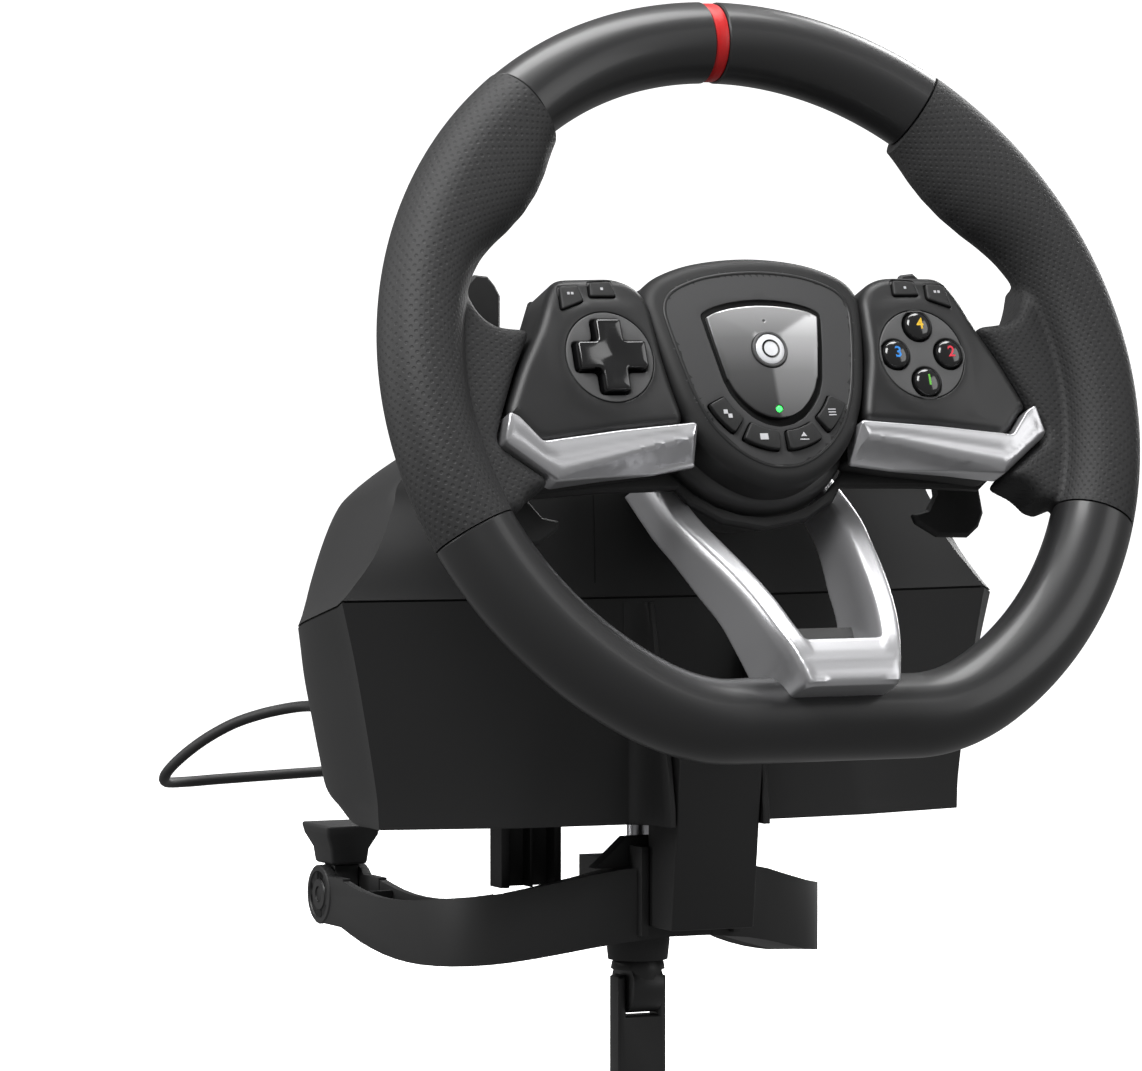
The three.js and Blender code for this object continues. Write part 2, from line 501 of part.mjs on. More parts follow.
const centre = union(
  box(-17, 17, -66, -14, -40, -15),
  box(-19, -16.4, -70, -60, -39, -8),
  box(16.4, 19, -70, -60, -39, -8),
  turned([[0, -51.6], [10.6, -51.6], [11.3, -45], [11.3, -39], [0, -39]], 24).translate([0, ROD_Y, 0]),
)
  .subtract(rod(4.6, -70, 0, 0, ROD_Y, 20))
  .subtract(turned([[0, -62], [10.4, -62], [10.4, -55.6], [9.6, -51.2], [7.6, -48], [4.7, -45.9], [0, -45.4]], 24).translate([0, ROD_Y, 0]));
const arm = union(leg, mirrored(leg), centre, tower).subtract(box(-57.5, -31.5, -36, -22.4, -40, 2));
add("clamp_arm", whole(arm), BLACK, 0.65);

for (const [side, k] of [["right", 1], ["left", -1]]) {
  const put = (s) => (k > 0 ? s : mirrored(s));
  const bracket = union(
    rodX(6, 61.4, 70.6, PIVOT[1], PIVOT[2], 20),
    rodX(3.04, 57.4, 74.6, PIVOT[1], PIVOT[2], 24),
    box(61.4, 70.6, PIVOT[1] - 5, PIVOT[1] + 5, -36, -25),
  );
  add("pad_bracket_" + side, put(bracket), 0x1a1a1a, 0.6);
  const pad = loft([[-24.7, 7, 8], [-19, 7.6, 8.8], [-14, 10, 11.4], [-10, 10.8, 12.6]].map(([z, a, b]) => [[66 - a, 86 - b, z], [66 + a, 86 - b, z], [66 + a, 86 + b, z], [66 - a, 86 + b, z]]));
  add("clamp_pad_" + side, put(pad), PAD_GREY, 0.8);
}
const thread = turned([[0, -52.6], [4, -52.6], [4, 27], [3.2, 29], [0, 29]], 20);
add("clamp_screw", thread.translate([0, ROD_Y, 0]), STEEL, 0.4, 1);
const ball = solid(new THREE.SphereGeometry(9.7, 18, 10).rotateX(Math.PI / 2), shift(0, 0, -55.6));
const knuckle = ball
  .subtract(box(5.9, 12, -12, 12, -70, -55))
  .subtract(box(-12, -5.9, -12, 12, -70, -55))
  .add(rodX(9.6, -5.8, 5.8, 0, -61, 28))
  .subtract(rod(4.3, -53, -30, 0, 0, 20))
  .subtract(rodX(2.25, -12, 12, 0, -61, 20));
add("clamp_knuckle", knuckle.translate([0, ROD_Y, 0]), 0x2e2e30, 0.5);
const halfBlade = [[6.2, -71.3], [6.2, -57.5], [7, -56.8], [9.3, -57.6], [9.3, -98], [7, -104]];
const blade = plate([...halfBlade, ...halfBlade.map(([x, z]) => [-x, z]).reverse()], -4.2, 4.2, 0.8, 1);
const lever = blade.transform(new THREE.Matrix4().makeRotationX(Math.PI / 2).elements).add(rodX(2.2, -8, 8, 0, -61, 20));
add("clamp_lever", lever.translate([0, ROD_Y, 0]), 0x2e2e30, 0.5);

// ---- cord ----------------------------------------------------------------------------------
add("strain_relief", turned([[CORD + 0.15, 0], [4.8, 0], [4.8, 9], [3, 24], [CORD + 0.15, 24]], 16).transform(new THREE.Matrix4().makeRotationX(-Math.PI / 2).setPosition(-78, 35, 33).elements), 0x171717, 0.8);
const CORD_ROUTE = [
  [-78, 36, 33], [-78, 58, 33], [-78, 70, 33], [-78, 78, 33], [-79.5, 87, 32.7], [-84.6, 93, 31.6], [-92.8, 98, 29.4], [-101.4, 103, 25.9],
  [-110, 108, 20.4], [-117, 113, 14], [-120.5, 120, 7.6], [-117, 130, 3.4], [-106, 139, 2.3], [-90, 145.5, 2.3], [-66, 154, 2.3], [-40, 162.9, 2.3], [-18, 170.6, 2.3],
];
add("cord", tube(CORD_ROUTE, CORD, 56, 8), 0x141414, 0.7);
const COIL = [10, 146, 8.5];
const coilRing = turned(Array.from({ length: 10 }, (_, i) => {
  const a = (2 * Math.PI * i) / 10;
  return [23 + 10.9 * Math.cos(a), 7.5 * Math.sin(a)];
}), 28);
add("cord_coil", coilRing.translate(COIL), 0x141414, 0.7);
const tieShape = turned([[9, -2.4], [9.6, -2.4], [9.6, 2.4], [9, 2.4]], 16).scale([1.36, 0.88, 1]);
add("cord_tie", tieShape.transform(new THREE.Matrix4().makeRotationX(Math.PI / 2).setPosition(COIL[0] + 23, COIL[1], COIL[2]).elements), 0x202020, 0.8);
const plugY = COIL[1] + 23 + 11.3 + CORD + 0.4;
add("usb_plug", union(rodX(CORD, 4, 46, plugY, 8, 8), box(46, 70, plugY - 8, plugY + 8, 4, 12)), 0x141414, 0.6);
add("usb_contact_shell", box(70.3, 82.3, plugY - 6, plugY + 6, 5.7, 10.3).subtract(box(72, 83, plugY - 5.5, plugY + 5.5, 6.2, 8.2)), STEEL, 0.3, 1);

export default root;
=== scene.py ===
# %% [markdown]
# # Racing wheel with desk clamp
# A game wheel for a desk: a flat-bottomed rim with rubber grips, a hub with keys, two control pods,
# silver spokes, two paddles, a spring-centred base, and a clamp that grips the edge of the board.
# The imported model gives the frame: every finished piece below is built in its metres and axes.

import json
from math import cos, pi, radians, sin

import bmesh
import bpy
import numpy as np
from mathutils import Matrix, Vector
from mathutils.geometry import delaunay_2d_cdt

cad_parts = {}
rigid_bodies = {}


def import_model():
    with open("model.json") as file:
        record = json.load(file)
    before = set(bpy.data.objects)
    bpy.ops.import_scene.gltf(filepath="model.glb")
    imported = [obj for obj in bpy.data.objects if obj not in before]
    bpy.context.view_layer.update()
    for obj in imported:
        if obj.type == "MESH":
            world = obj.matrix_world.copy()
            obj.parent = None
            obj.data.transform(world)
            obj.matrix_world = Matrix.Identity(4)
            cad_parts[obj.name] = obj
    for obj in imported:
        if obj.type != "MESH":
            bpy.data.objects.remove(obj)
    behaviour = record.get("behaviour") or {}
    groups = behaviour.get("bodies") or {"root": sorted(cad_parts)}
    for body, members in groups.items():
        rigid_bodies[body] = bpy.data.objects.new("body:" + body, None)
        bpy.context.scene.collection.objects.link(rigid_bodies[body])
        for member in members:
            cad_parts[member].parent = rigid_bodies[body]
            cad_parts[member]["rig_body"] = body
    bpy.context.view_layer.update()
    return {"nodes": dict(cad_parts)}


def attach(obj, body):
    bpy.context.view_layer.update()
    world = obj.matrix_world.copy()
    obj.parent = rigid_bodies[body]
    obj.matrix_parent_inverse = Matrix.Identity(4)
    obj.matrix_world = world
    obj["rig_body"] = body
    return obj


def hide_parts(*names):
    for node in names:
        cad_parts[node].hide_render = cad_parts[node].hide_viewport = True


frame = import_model()
scene = bpy.context.scene

# %% [markdown]
# The camera stands to the driver's left, almost level with the hub, with a long lens: the rim shows
# as a nearly round ring and the left side of the base is in view.

# %% Camera
AZIMUTH, PITCH = radians(24.764), radians(2.548)
camera = bpy.data.objects.new("camera", bpy.data.cameras.new("camera"))
scene.collection.objects.link(camera)
camera.location = (-1.02593, -2.19437, 0.20444)
camera.rotation_euler = (pi / 2 - PITCH, 0, -AZIMUTH)
camera.data.sensor_width = 36
camera.data.lens = 215.14
camera.data.clip_start, camera.data.clip_end = 0.05, 30
scene.camera = camera

# %% [markdown]
# The lead comes first of the pieces. It leaves the back of the base, drops to the level of the desk
# and is wound behind the base in four flat layers, each a spiral, so that no turn crosses another.

# %% Lead
CORD_R = 0.002
ROUTE = [
    (-78, 36, 33), (-78, 58, 33), (-78, 70, 33), (-78, 78, 33), (
        -79.5, 87, 32.7,
    ), (-84.6, 93, 31.6), (-92.8, 98, 29.4),
    (
        -101.4, 103, 25.9,
    ), (-110, 108, 20.4), (-117, 113, 14), (-120.5, 120, 7.6), (-117, 130, 3.4), (-106, 139, 2.3),
    (-90, 145.5, 2.3), (-66, 154, 2.3), (-40, 162.9, 2.3), (-18, 170.6, 2.3),
]
COIL = (10, 146)
INNER, OUTER, LAYERS, RISE = 14.0, 32.4, 4, 4.15
TURNS = (OUTER - INNER) / 4.15


def smooth_path(points, step):
    """A centripetal curve through the points, resampled evenly."""
    p = np.array(
        [
            2 * np.array(points[0]) - np.array(points[1]), *map(np.array, points),
            2 * np.array(points[-1]) - np.array(points[-2]),
        ],
        float,
    )
    out = []
    for a, b, c, d in zip(p, p[1:], p[2:], p[3:]):
        t = np.linspace(0, 1, 24, endpoint=False)[:, None]
        out.append(
            0.5 * (
                2 * b + (c - a) * t + (2 * a - 5 * b + 4 * c - d) * t**2
                + (3 * b - a - 3 * c + d) * t**3
            )
        )
    q = np.vstack([*out, p[-2][None]])
    s = np.r_[0, np.cumsum(np.linalg.norm(np.diff(q, axis=0), axis=1))]
    n = max(2, int(round(s[-1] / step)) + 1)
    u = np.linspace(0, s[-1], n)
    return np.stack([np.interp(u, s, q[:, k]) for k in range(3)], 1)


def coil_points():
    """Clockwise seen from above, from the outside in and out again, one layer on the next."""
    out, angle = [], radians(112)
    for layer in range(LAYERS):
        a, b = (OUTER, INNER) if layer % 2 == 0 else (INNER, OUTER)
        turns = TURNS if layer < LAYERS - 1 else TURNS + 22 / 360
        for k in range(int(turns * 40)):
            f = k / (turns * 40)
            up = max(0.0, (f - (1 - 0.35 / turns)) / (0.35 / turns)) if layer < LAYERS - 1 else 0
            r = a + (b - a) * f
            z = 2.3 + RISE * (layer + up * up * (3 - 2 * up))
            out.append((COIL[0] + r * cos(angle), COIL[1] + r * sin(angle), z))
            angle -= 2 * pi / 40
    return out, angle


wound, last = coil_points()
PLUG_Y = COIL[1] + 23 + 11.3 + 2 + 0.4
end = [(6, PLUG_Y - 1.2, 13.2), (18, PLUG_Y, 11), (32, PLUG_Y, 8.4), (46, PLUG_Y, 8)]
print("coil ends at", [round(v, 1) for v in wound[-1]], "angle", round(np.degrees(last) % 360, 1))
lead_path = smooth_path([*ROUTE, *wound[1:], *end], 2.5) / 1000

# %% [markdown]
# ## Finishes
# Every plastic has a fine grain and a slightly uneven gloss, set by the object's own
# coordinates so the grain stays with the piece. The wheel's pieces also carry an attribute with
# their place on the wheel in millimetres, which sets the painted reflection on the centre plate, a
# grey ramp from dark at the bottom to light at the top. The grips carry a second one that runs along
# the skin, so that their dimples keep their size round every bend; each dimple is darkened with
# painted shade.


# %% Finishes
def dimples_with_painted_shade(n, link, base):
    """Round dots in rows along the skin: their colour, darkened in each dot with painted shade, and their
    height.
    """
    uv = n.new("ShaderNodeAttribute")
    uv.attribute_name = "skin"
    cells = n.new("ShaderNodeTexVoronoi")
    cells.voronoi_dimensions = "2D"
    cells.inputs["Scale"].default_value = 1
    cells.inputs["Randomness"].default_value = 0
    link(uv.outputs["Vector"], cells.inputs["Vector"])
    dot = n.new("ShaderNodeMapRange")
    dot.inputs["From Min"].default_value = 0.16
    dot.inputs["From Max"].default_value = 0.3
    link(cells.outputs["Distance"], dot.inputs["Value"])
    shade = n.new("ShaderNodeMix")
    shade.data_type = "RGBA"
    shade.blend_type = "MULTIPLY"
    shade.inputs["Factor"].default_value = 1
    grey = n.new("ShaderNodeMapRange")
    grey.inputs["To Min"].default_value = 0.5
    link(dot.outputs["Result"], grey.inputs["Value"])
    link(base, shade.inputs["A"])
    link(grey.outputs["Result"], shade.inputs["B"])
    return shade.outputs["Result"], dot.outputs["Result"]


def painted_reflection(n, link, low, high, stops):
    """A painted reflection: greys up the wheel from the height low to the height high, in millimetres."""
    at = n.new("ShaderNodeAttribute")
    at.attribute_name = "at"
    split = n.new("ShaderNodeSeparateXYZ")
    link(at.outputs["Vector"], split.inputs["Vector"])
    span = n.new("ShaderNodeMapRange")
    span.inputs["From Min"].default_value = low
    span.inputs["From Max"].default_value = high
    link(split.outputs["Y"], span.inputs["Value"])
    ramp = n.new("ShaderNodeValToRGB")
    link(span.outputs["Result"], ramp.inputs["Fac"])
    for k, (pos, g) in enumerate(stops):
        e = ramp.color_ramp.elements[k] if k < 2 else ramp.color_ramp.elements.new(pos)
        e.position, e.color = pos, (g, g, g * 1.01, 1)
    return ramp.outputs["Color"]


def finish(
    name, colour, rough, metal=0.0, grain=900, bump=0.02, spread=0.12, coat=0.0, dots=False, reflection_ramp=None,
    slot=None,
):
    """A plastic, rubber or metal; dots gives the dimpled rubber, with painted shade in each dimple, and the
    height ramp gives a painted reflection, a grey ramp across the wheel.
    """
    m = bpy.data.materials.new(name)
    m.use_nodes = True
    n, link = m.node_tree.nodes, m.node_tree.links.new
    b = n["Principled BSDF"]
    where = n.new("ShaderNodeTexCoord")
    noise = n.new("ShaderNodeTexNoise")
    noise.inputs["Scale"].default_value = grain
    noise.inputs["Detail"].default_value = 3
    link(where.outputs["Object"], noise.inputs["Vector"])
    broad = n.new("ShaderNodeTexNoise")
    broad.inputs["Scale"].default_value = 14
    link(where.outputs["Object"], broad.inputs["Vector"])
    tone = n.new("ShaderNodeMapRange")
    tone.inputs["To Min"].default_value = rough * (1 - spread)
    tone.inputs["To Max"].default_value = min(1, rough * (1 + spread))
    link(broad.outputs["Fac"], tone.inputs["Value"])
    link(tone.outputs["Result"], b.inputs["Roughness"])
    mix = n.new("ShaderNodeMix")
    mix.data_type = "RGBA"
    mix.inputs["A"].default_value = (*[c * (1 - spread) for c in colour], 1)
    mix.inputs["B"].default_value = (*[min(1, c * (1 + spread)) for c in colour], 1)
    link(noise.outputs["Fac"], mix.inputs["Factor"])
    link(mix.outputs["Result"], b.inputs["Base Color"])
    b.inputs["Metallic"].default_value = metal
    b.inputs["Coat Weight"].default_value = coat
    b.inputs["Coat Roughness"].default_value = 0.12
    height = noise.outputs["Fac"]
    depth = 0.00004
    if dots:
        dimple_shaded_colour, height = dimples_with_painted_shade(n, link, mix.outputs["Result"])
        link(dimple_shaded_colour, b.inputs["Base Color"])
        depth, bump = 0.00025, 0.5
    if reflection_ramp:
        link(painted_reflection(n, link, *reflection_ramp), b.inputs["Base Color"])
    if bump:
        rise = n.new("ShaderNodeBump")
        rise.inputs["Strength"].default_value = bump
        rise.inputs["Distance"].default_value = depth
        link(height, rise.inputs["Height"])
        link(rise.outputs["Normal"], b.inputs["Normal"])
    m["slot"] = slot or name
    return m


M = {
    "rim": finish("rim_satin", (0.013, 0.013, 0.0135), 0.38, grain=2600, bump=0.06, coat=0.15),
    # The grip rubber darkens each dimple with painted shade.
    "grip": finish("grip_rubber", (0.0115, 0.0115, 0.012), 0.64, dots=True),
    "red": finish("red_band", (0.5, 0.0015, 0.0025), 0.45, coat=0.0),
    "black": finish("black_plastic", (0.0075, 0.0075, 0.0078), 0.58, grain=2400, bump=0.25),
    "satin": finish("satin_plastic", (0.012, 0.012, 0.0124), 0.44, grain=2200, bump=0.15),
    "bowl": finish("bowl_plastic", (0.032, 0.032, 0.0325), 0.42, grain=2200, bump=0.15, slot="satin_plastic"),
    "panel": finish("panel_grey", (0.04, 0.04, 0.041), 0.6, grain=3000, bump=0.4, slot="black_plastic"),
    "dish": finish("dish_grey", (0.085, 0.085, 0.086), 0.6, grain=3000, bump=0.3),
    "gloss": finish("gloss_black", (0.006, 0.006, 0.0065), 0.12, bump=0.0, coat=0.6),
    "silver": finish(
        "silver_paint", (0.56, 0.56, 0.575), 0.33, metal=0.78, grain=4000, bump=0.05, spread=0.06,
    ),
    # The shield's silver carries a painted reflection, a grey ramp from dark at the bottom of the plate to
    # light at the top.
    "shield": finish(
        "shield_silver", (0.5, 0.5, 0.52), 0.3, metal=0.85,
        reflection_ramp=(-17, 28, [(0, 0.05), (1, 0.75), (0.45, 0.16), (0.72, 0.34)]), bump=0.02,
    ),
    "white": finish("button_white", (0.75, 0.76, 0.78), 0.25, bump=0.0, coat=0.4, spread=0.04),
    "green": finish("green_light", (0.02, 0.55, 0.05), 0.3, bump=0.0),
    "steel": finish("steel", (0.5, 0.5, 0.52), 0.3, metal=1.0, grain=1500, bump=0.08),
    # Painted shadow: a near-black copy of the black plastic, for the floors of the hub's recesses and the
    # panel line on the base.
    "seam": finish("seam_shadow", (0.001, 0.001, 0.001), 0.9, bump=0.0, slot="black_plastic"),
    "dark": finish("dark_rubber", (0.012, 0.012, 0.0125), 0.6, grain=1800, bump=0.15),
}
for key, tint in (
    ("yellow", (0.8, 0.5, 0.02)), ("blue", (0.02, 0.25, 0.75)), ("crimson", (0.7, 0.02, 0.05)),
    ("leaf", (0.12, 0.5, 0.04)), ("mark", (0.55, 0.55, 0.57)),
):
    M[key] = finish("print_" + key, tint, 0.4, bump=0.0, spread=0.05, slot="gloss_black")
green = M["green"].node_tree.nodes["Principled BSDF"]
green.inputs["Emission Color"].default_value = (0.05, 1, 0.12, 1)
green.inputs["Emission Strength"].default_value = 2.5
print("finishes", len(M))

# %% [markdown]
# ## Shop tools
# A piece is made from vertices and faces in millimetres, on the wheel's own axes
# (x right, v up in the plane of the rim, n towards the driver) or in the row frame. Turned pieces
# are spun from a profile, long ones are lofted through sections, and flat ones with a sculpted face
# are a relief over an outline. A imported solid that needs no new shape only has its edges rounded.

# %% Tools
RECLINE = radians(21.4)
ON_WHEEL = Matrix.Translation((0, -127.5, 151.9)) @ Matrix.Rotation(pi / 2 - RECLINE, 4, "X")
IN_ROW = Matrix.Identity(4)


def piece(
    name, verts, faces, mat, body="wheel", cad=(), place=ON_WHEEL, sharp=32, skin=None, weld=1e-4,
    paint=None,
):
    """An object from vertices and faces; paint gives the number of each face's material from its middle."""
    mesh = bpy.data.meshes.new(name)
    mesh.from_pydata([tuple(v) for v in verts], [], faces)
    bm = bmesh.new()
    bm.from_mesh(mesh)
    layer = bm.verts.layers.float_vector.new("at")
    for v in bm.verts:
        v[layer] = v.co
    if skin is not None:
        s = bm.verts.layers.float_vector.new("skin")
        bm.verts.ensure_lookup_table()
        for v, uv in zip(bm.verts, skin):
            v[s] = (uv[0], uv[1], 0)
    if weld:
        bmesh.ops.remove_doubles(bm, verts=bm.verts, dist=weld)
    bmesh.ops.recalc_face_normals(bm, faces=bm.faces)
    if paint:
        for f in bm.faces:
            f.material_index = paint(f.calc_center_median())
    bm.to_mesh(mesh)
    bm.free()
    return settle(name, mesh, mat, body, cad, place, sharp)


def settle(name, mesh, mat, body, cad, place, sharp):
    """Places a mesh made in millimetres, gives it its finish and joins it to its body."""
    mesh.transform(Matrix.Scale(0.001, 4) @ place)
    mesh.shade_smooth()
    mesh.set_sharp_from_angle(angle=radians(sharp))
    mats = [mat] if isinstance(mat, str) else mat
    for m in mats:
        mesh.materials.append(M[m])
    obj = bpy.data.objects.new(name, mesh)
    scene.collection.objects.link(obj)
    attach(obj, body)
    if cad:
        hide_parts(*([cad] if isinstance(cad, str) else cad))
    return obj


def rings(loops, close=True):
    """Faces through loops that all have the same number of points, with both ends capped."""
    n = len(loops[0])
    verts = [tuple(p) for loop in loops for p in loop]
    faces = []
    for r in range(len(loops) - 1):
        for i in range(n):
            a, b = r * n + i, r * n + (i + 1) % n
            faces.append((a, b, b + n, a + n))
    if close:
        for base, flip in ((0, True), ((len(loops) - 1) * n, False)):
            verts.append(tuple(np.mean(np.array(verts[base : base + n]), axis=0)))
            c = len(verts) - 1
            for i in range(n):
                j = (i + 1) % n
                faces.append((base + j, base + i, c) if flip else (base + i, base + j, c))
    return verts, faces


def lathe(profile, sides=64, at=(0, 0, 0)):
    """A profile of (radius, height) pairs spun round an upright axis, with both ends closed."""
    bm = bmesh.new()
    line = [bm.verts.new((at[0] + r, at[1], at[2] + z)) for r, z in profile]
    edges = [bm.edges.new(pair) for pair in zip(line, line[1:])]
    bmesh.ops.spin(
        bm, geom=[*line, *edges], cent=at, axis=(0, 0, 1), angle=2 * pi, steps=sides, use_merge=True,
    )
    bmesh.ops.holes_fill(bm, edges=bm.edges, sides=sides)
    bm.verts.index_update()
    return unpacked(bm)


def curve2d(points, per=5):
    """A smooth closed outline through the points."""
    p = np.array(points, float)
    n = len(p)
    out = []
    for i in range(n):
        a, b, c, d = p[i - 1], p[i], p[(i + 1) % n], p[(i + 2) % n]
        for t in np.linspace(0, 1, per, endpoint=False):
            out.append(
                0.5 * (
                    2 * b + (c - a) * t + (2 * a - 5 * b + 4 * c - d) * t**2
                    + (3 * b - a - 3 * c + d) * t**3
                )
            )
    return np.array(out)


def rounded(points, r, k=5):
    """The outline with every corner rounded by an arc-like curve of reach r."""
    p = np.array(points, float)
    out = []
    for i in range(len(p)):
        a, b, c = p[i - 1], p[i], p[(i + 1) % len(p)]
        la, lc = np.linalg.norm(a - b), np.linalg.norm(c - b)
        s, e = b + (a - b) * min(r / la, 0.45), b + (c - b) * min(r / lc, 0.45)
        for t in np.linspace(0, 1, k):
            out.append((1 - t) ** 2 * s + 2 * t * (1 - t) * b + t * t * e)
    return np.array(out)


def area(p):
    """The signed area of an outline, positive when it runs anticlockwise."""
    return 0.5 * float(np.sum(p[:, 0] * np.roll(p[:, 1], -1) - p[:, 1] * np.roll(p[:, 0], -1)))


def inset(p, d):
    """The outline moved inwards by d."""
    sign = 1 if area(p) > 0 else -1
    e = np.roll(p, -1, 0) - p
    e /= np.maximum(np.linalg.norm(e, axis=1, keepdims=True), 1e-9)
    normal = np.stack([-e[:, 1], e[:, 0]], 1) * sign
    m = normal + np.roll(normal, 1, 0)
    m = m / np.maximum((m**2).sum(1, keepdims=True) / 2, 0.55)
    return p + m * d


def circle(x, y, r, k=40):
    """An outline of k points round (x, y)."""
    return np.array([(x + r * cos(2 * pi * i / k), y + r * sin(2 * pi * i / k)) for i in range(k)])


def inside(q, loop):
    """Whether the point lies inside the outline."""
    x, y = loop[:, 0], loop[:, 1]
    x2, y2 = np.roll(x, -1), np.roll(y, -1)
    hit = ((y > q[1]) != (y2 > q[1])) & (q[0] < (x2 - x) * (q[1] - y) / np.where(y2 == y, 1e-9, y2 - y) + x)
    return bool(hit.sum() % 2)


def relief(outer, low, height, edge=2.5, holes=(), depth=4, lip=0.35, grid=2.5, steps=6):
    """A solid with a sculpted front: rounded outer edge, holes with rounded lips, and a flat back."""
    high = height if callable(height) else (lambda x, y: height)
    verts, faces = [], []

    def band(loops):
        """Faces through the loops, and where their last and first points are."""
        start = len(verts)
        n = len(loops[0])
        verts.extend(tuple(map(float, p)) for loop in loops for p in loop)
        for r in range(len(loops) - 1):
            for i in range(n):
                a, b = start + r * n + i, start + r * n + (i + 1) % n
                faces.append((a, b, b + n, a + n))
        return start + (len(loops) - 1) * n, start

    loops = [[(*q, low) for q in outer], [(*q, high(*q) - edge) for q in outer]]
    for k in range(1, steps + 1):
        a = pi / 2 * k / steps
        loops.append([(*q, high(*q) - edge * (1 - sin(a))) for q in inset(outer, edge * (1 - cos(a)))])
    _, first = band(loops)
    c = len(verts)
    verts.append((*outer.mean(0), low))
    n = len(outer)
    faces.extend((first + (i + 1) % n, first + i, c) for i in range(n))
    face_loops = [inset(outer, edge)]
    for h in holes:
        rim = [inset(h, -lip * (1 - sin(pi / 2 * k / 3))) for k in range(4)]
        stack = [[(*q, high(*q) - lip * (1 - cos(pi / 2 * k / 3))) for q in rim[k]] for k in range(4)]
        stack.append([(*q, high(*h.mean(0)) - depth) for q in h])
        tail, _ = band(stack)
        c = len(verts)
        verts.append((*h.mean(0), high(*h.mean(0)) - depth))
        faces.extend((tail + i, tail + (i + 1) % len(h), c) for i in range(len(h)))
        face_loops.append(rim[0])
    pts, edges = [], []
    for loop in face_loops:
        s = len(pts)
        pts.extend(Vector(q) for q in loop)
        edges.extend((s + i, s + (i + 1) % len(loop)) for i in range(len(loop)))
    lo, hi = outer.min(0), outer.max(0)
    if callable(height):
        keep = [inset(outer, edge + 1.0), *[inset(h, -lip - 1.0) for h in holes]]
        for x in np.arange(lo[0], hi[0], grid):
            for y in np.arange(lo[1], hi[1], grid):
                if inside((x, y), keep[0]) and not any(inside((x, y), k) for k in keep[1:]):
                    pts.append(Vector((x, y)))
    flat, _, triangles, *_ = delaunay_2d_cdt(pts, edges, [], 1, 1e-5)
    s = len(verts)
    verts.extend((v.x, v.y, high(v.x, v.y)) for v in flat)
    for f in triangles:
        mid = sum((flat[i] for i in f), Vector((0, 0))) / len(f)
        if inside(mid, face_loops[0]) and not any(inside(mid, h) for h in face_loops[1:]):
            faces.append(tuple(s + i for i in f))
    return verts, faces


def remeshed(name, parts, voxel, rounds):
    """One closed skin round the parts, in millimetres, smoothed by the given number of rounds."""
    mesh = bpy.data.meshes.new(name)
    verts, faces = [], []
    for v, f in parts:
        faces += [tuple(i + len(verts) for i in q) for q in f]
        verts += [tuple(q) for q in v]
    mesh.from_pydata(verts, [], faces)
    obj = bpy.data.objects.new(name, mesh)
    scene.collection.objects.link(obj)
    mod = obj.modifiers.new("skin", "REMESH")
    mod.mode, mod.voxel_size = "VOXEL", voxel
    bpy.context.view_layer.update()
    skin = bpy.data.meshes.new_from_object(obj.evaluated_get(bpy.context.evaluated_depsgraph_get()))
    bpy.data.objects.remove(obj)
    bm = bmesh.new()
    bm.from_mesh(skin)
    for _ in range(rounds):
        bmesh.ops.smooth_vert(
            bm, verts=bm.verts, factor=0.5, use_axis_x=True, use_axis_y=True, use_axis_z=True,
        )
    return bm


def cut(bm, at, normal):
    """Cuts the body by a plane, keeps the side behind the normal and closes the cut."""
    everything = [*bm.verts, *bm.edges, *bm.faces]
    done = bmesh.ops.bisect_plane(bm, geom=everything, plane_co=at, plane_no=normal, clear_outer=True)
    edges = [e for e in done["geom_cut"] if isinstance(e, bmesh.types.BMEdge)]
    bmesh.ops.edgenet_fill(bm, edges=edges)


def unpacked(bm, sgn=1):
    """Vertices and faces of a bmesh, mirrored in x for the left side, and the bmesh freed."""
    verts = [(sgn * v.co.x, v.co.y, v.co.z) for v in bm.verts]
    faces = [[v.index for v in f.verts] for f in bm.faces]
    bm.free()
    return verts, faces


def refined(node, mat, width=0.5, segments=2, angle=28, name=None):
    """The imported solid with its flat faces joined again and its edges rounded."""
    src = frame["nodes"][node]
    mesh = src.data.copy()
    mesh.materials.clear()
    bm = bmesh.new()
    bm.from_mesh(mesh)
    bmesh.ops.remove_doubles(bm, verts=bm.verts, dist=2e-6)
    bmesh.ops.dissolve_limit(bm, angle_limit=radians(1), verts=bm.verts, edges=bm.edges)
    if width:
        edges = [e for e in bm.edges if len(e.link_faces) == 2 and e.calc_face_angle(0) > radians(angle)]
        bmesh.ops.bevel(
            bm, geom=edges, offset=width / 1000, offset_type="OFFSET", affect="EDGES",
            segments=segments, profile=0.5, clamp_overlap=True, material=-1,
        )
    bmesh.ops.recalc_face_normals(bm, faces=bm.faces)
    bm.to_mesh(mesh)
    bm.free()
    mesh.shade_smooth()
    mesh.set_sharp_from_angle(angle=radians(38))
    mesh.materials.append(M[mat])
    obj = bpy.data.objects.new(name or node + "_finished", mesh)
    scene.collection.objects.link(obj)
    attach(obj, src["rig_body"])
    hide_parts(node)
    return obj


print("tools ready")

# %% [markdown]
# ## Rim
# A foam-covered ring on a metal core: two smooth arcs at the top with a red marker band between
# them, a smooth flat-bottomed length below, and a rubber grip on each side. The smooth lengths are
# tubes swept along the middle line, because the flat bottom is not part of a circle. Their ends are
# drawn in a little, which shows as a fine joint line where two of them meet.

# %% Smooth parts of the rim
R, T, FLAT, SEAM, LOW = 126, 14, -117.5, 53.2, -23
FINE = 1


def polar(deg, r=R):
    """A point in the plane of the rim, by its angle from the driver's right."""
    return np.array([r * cos(radians(deg)), r * sin(radians(deg)), 0.0])


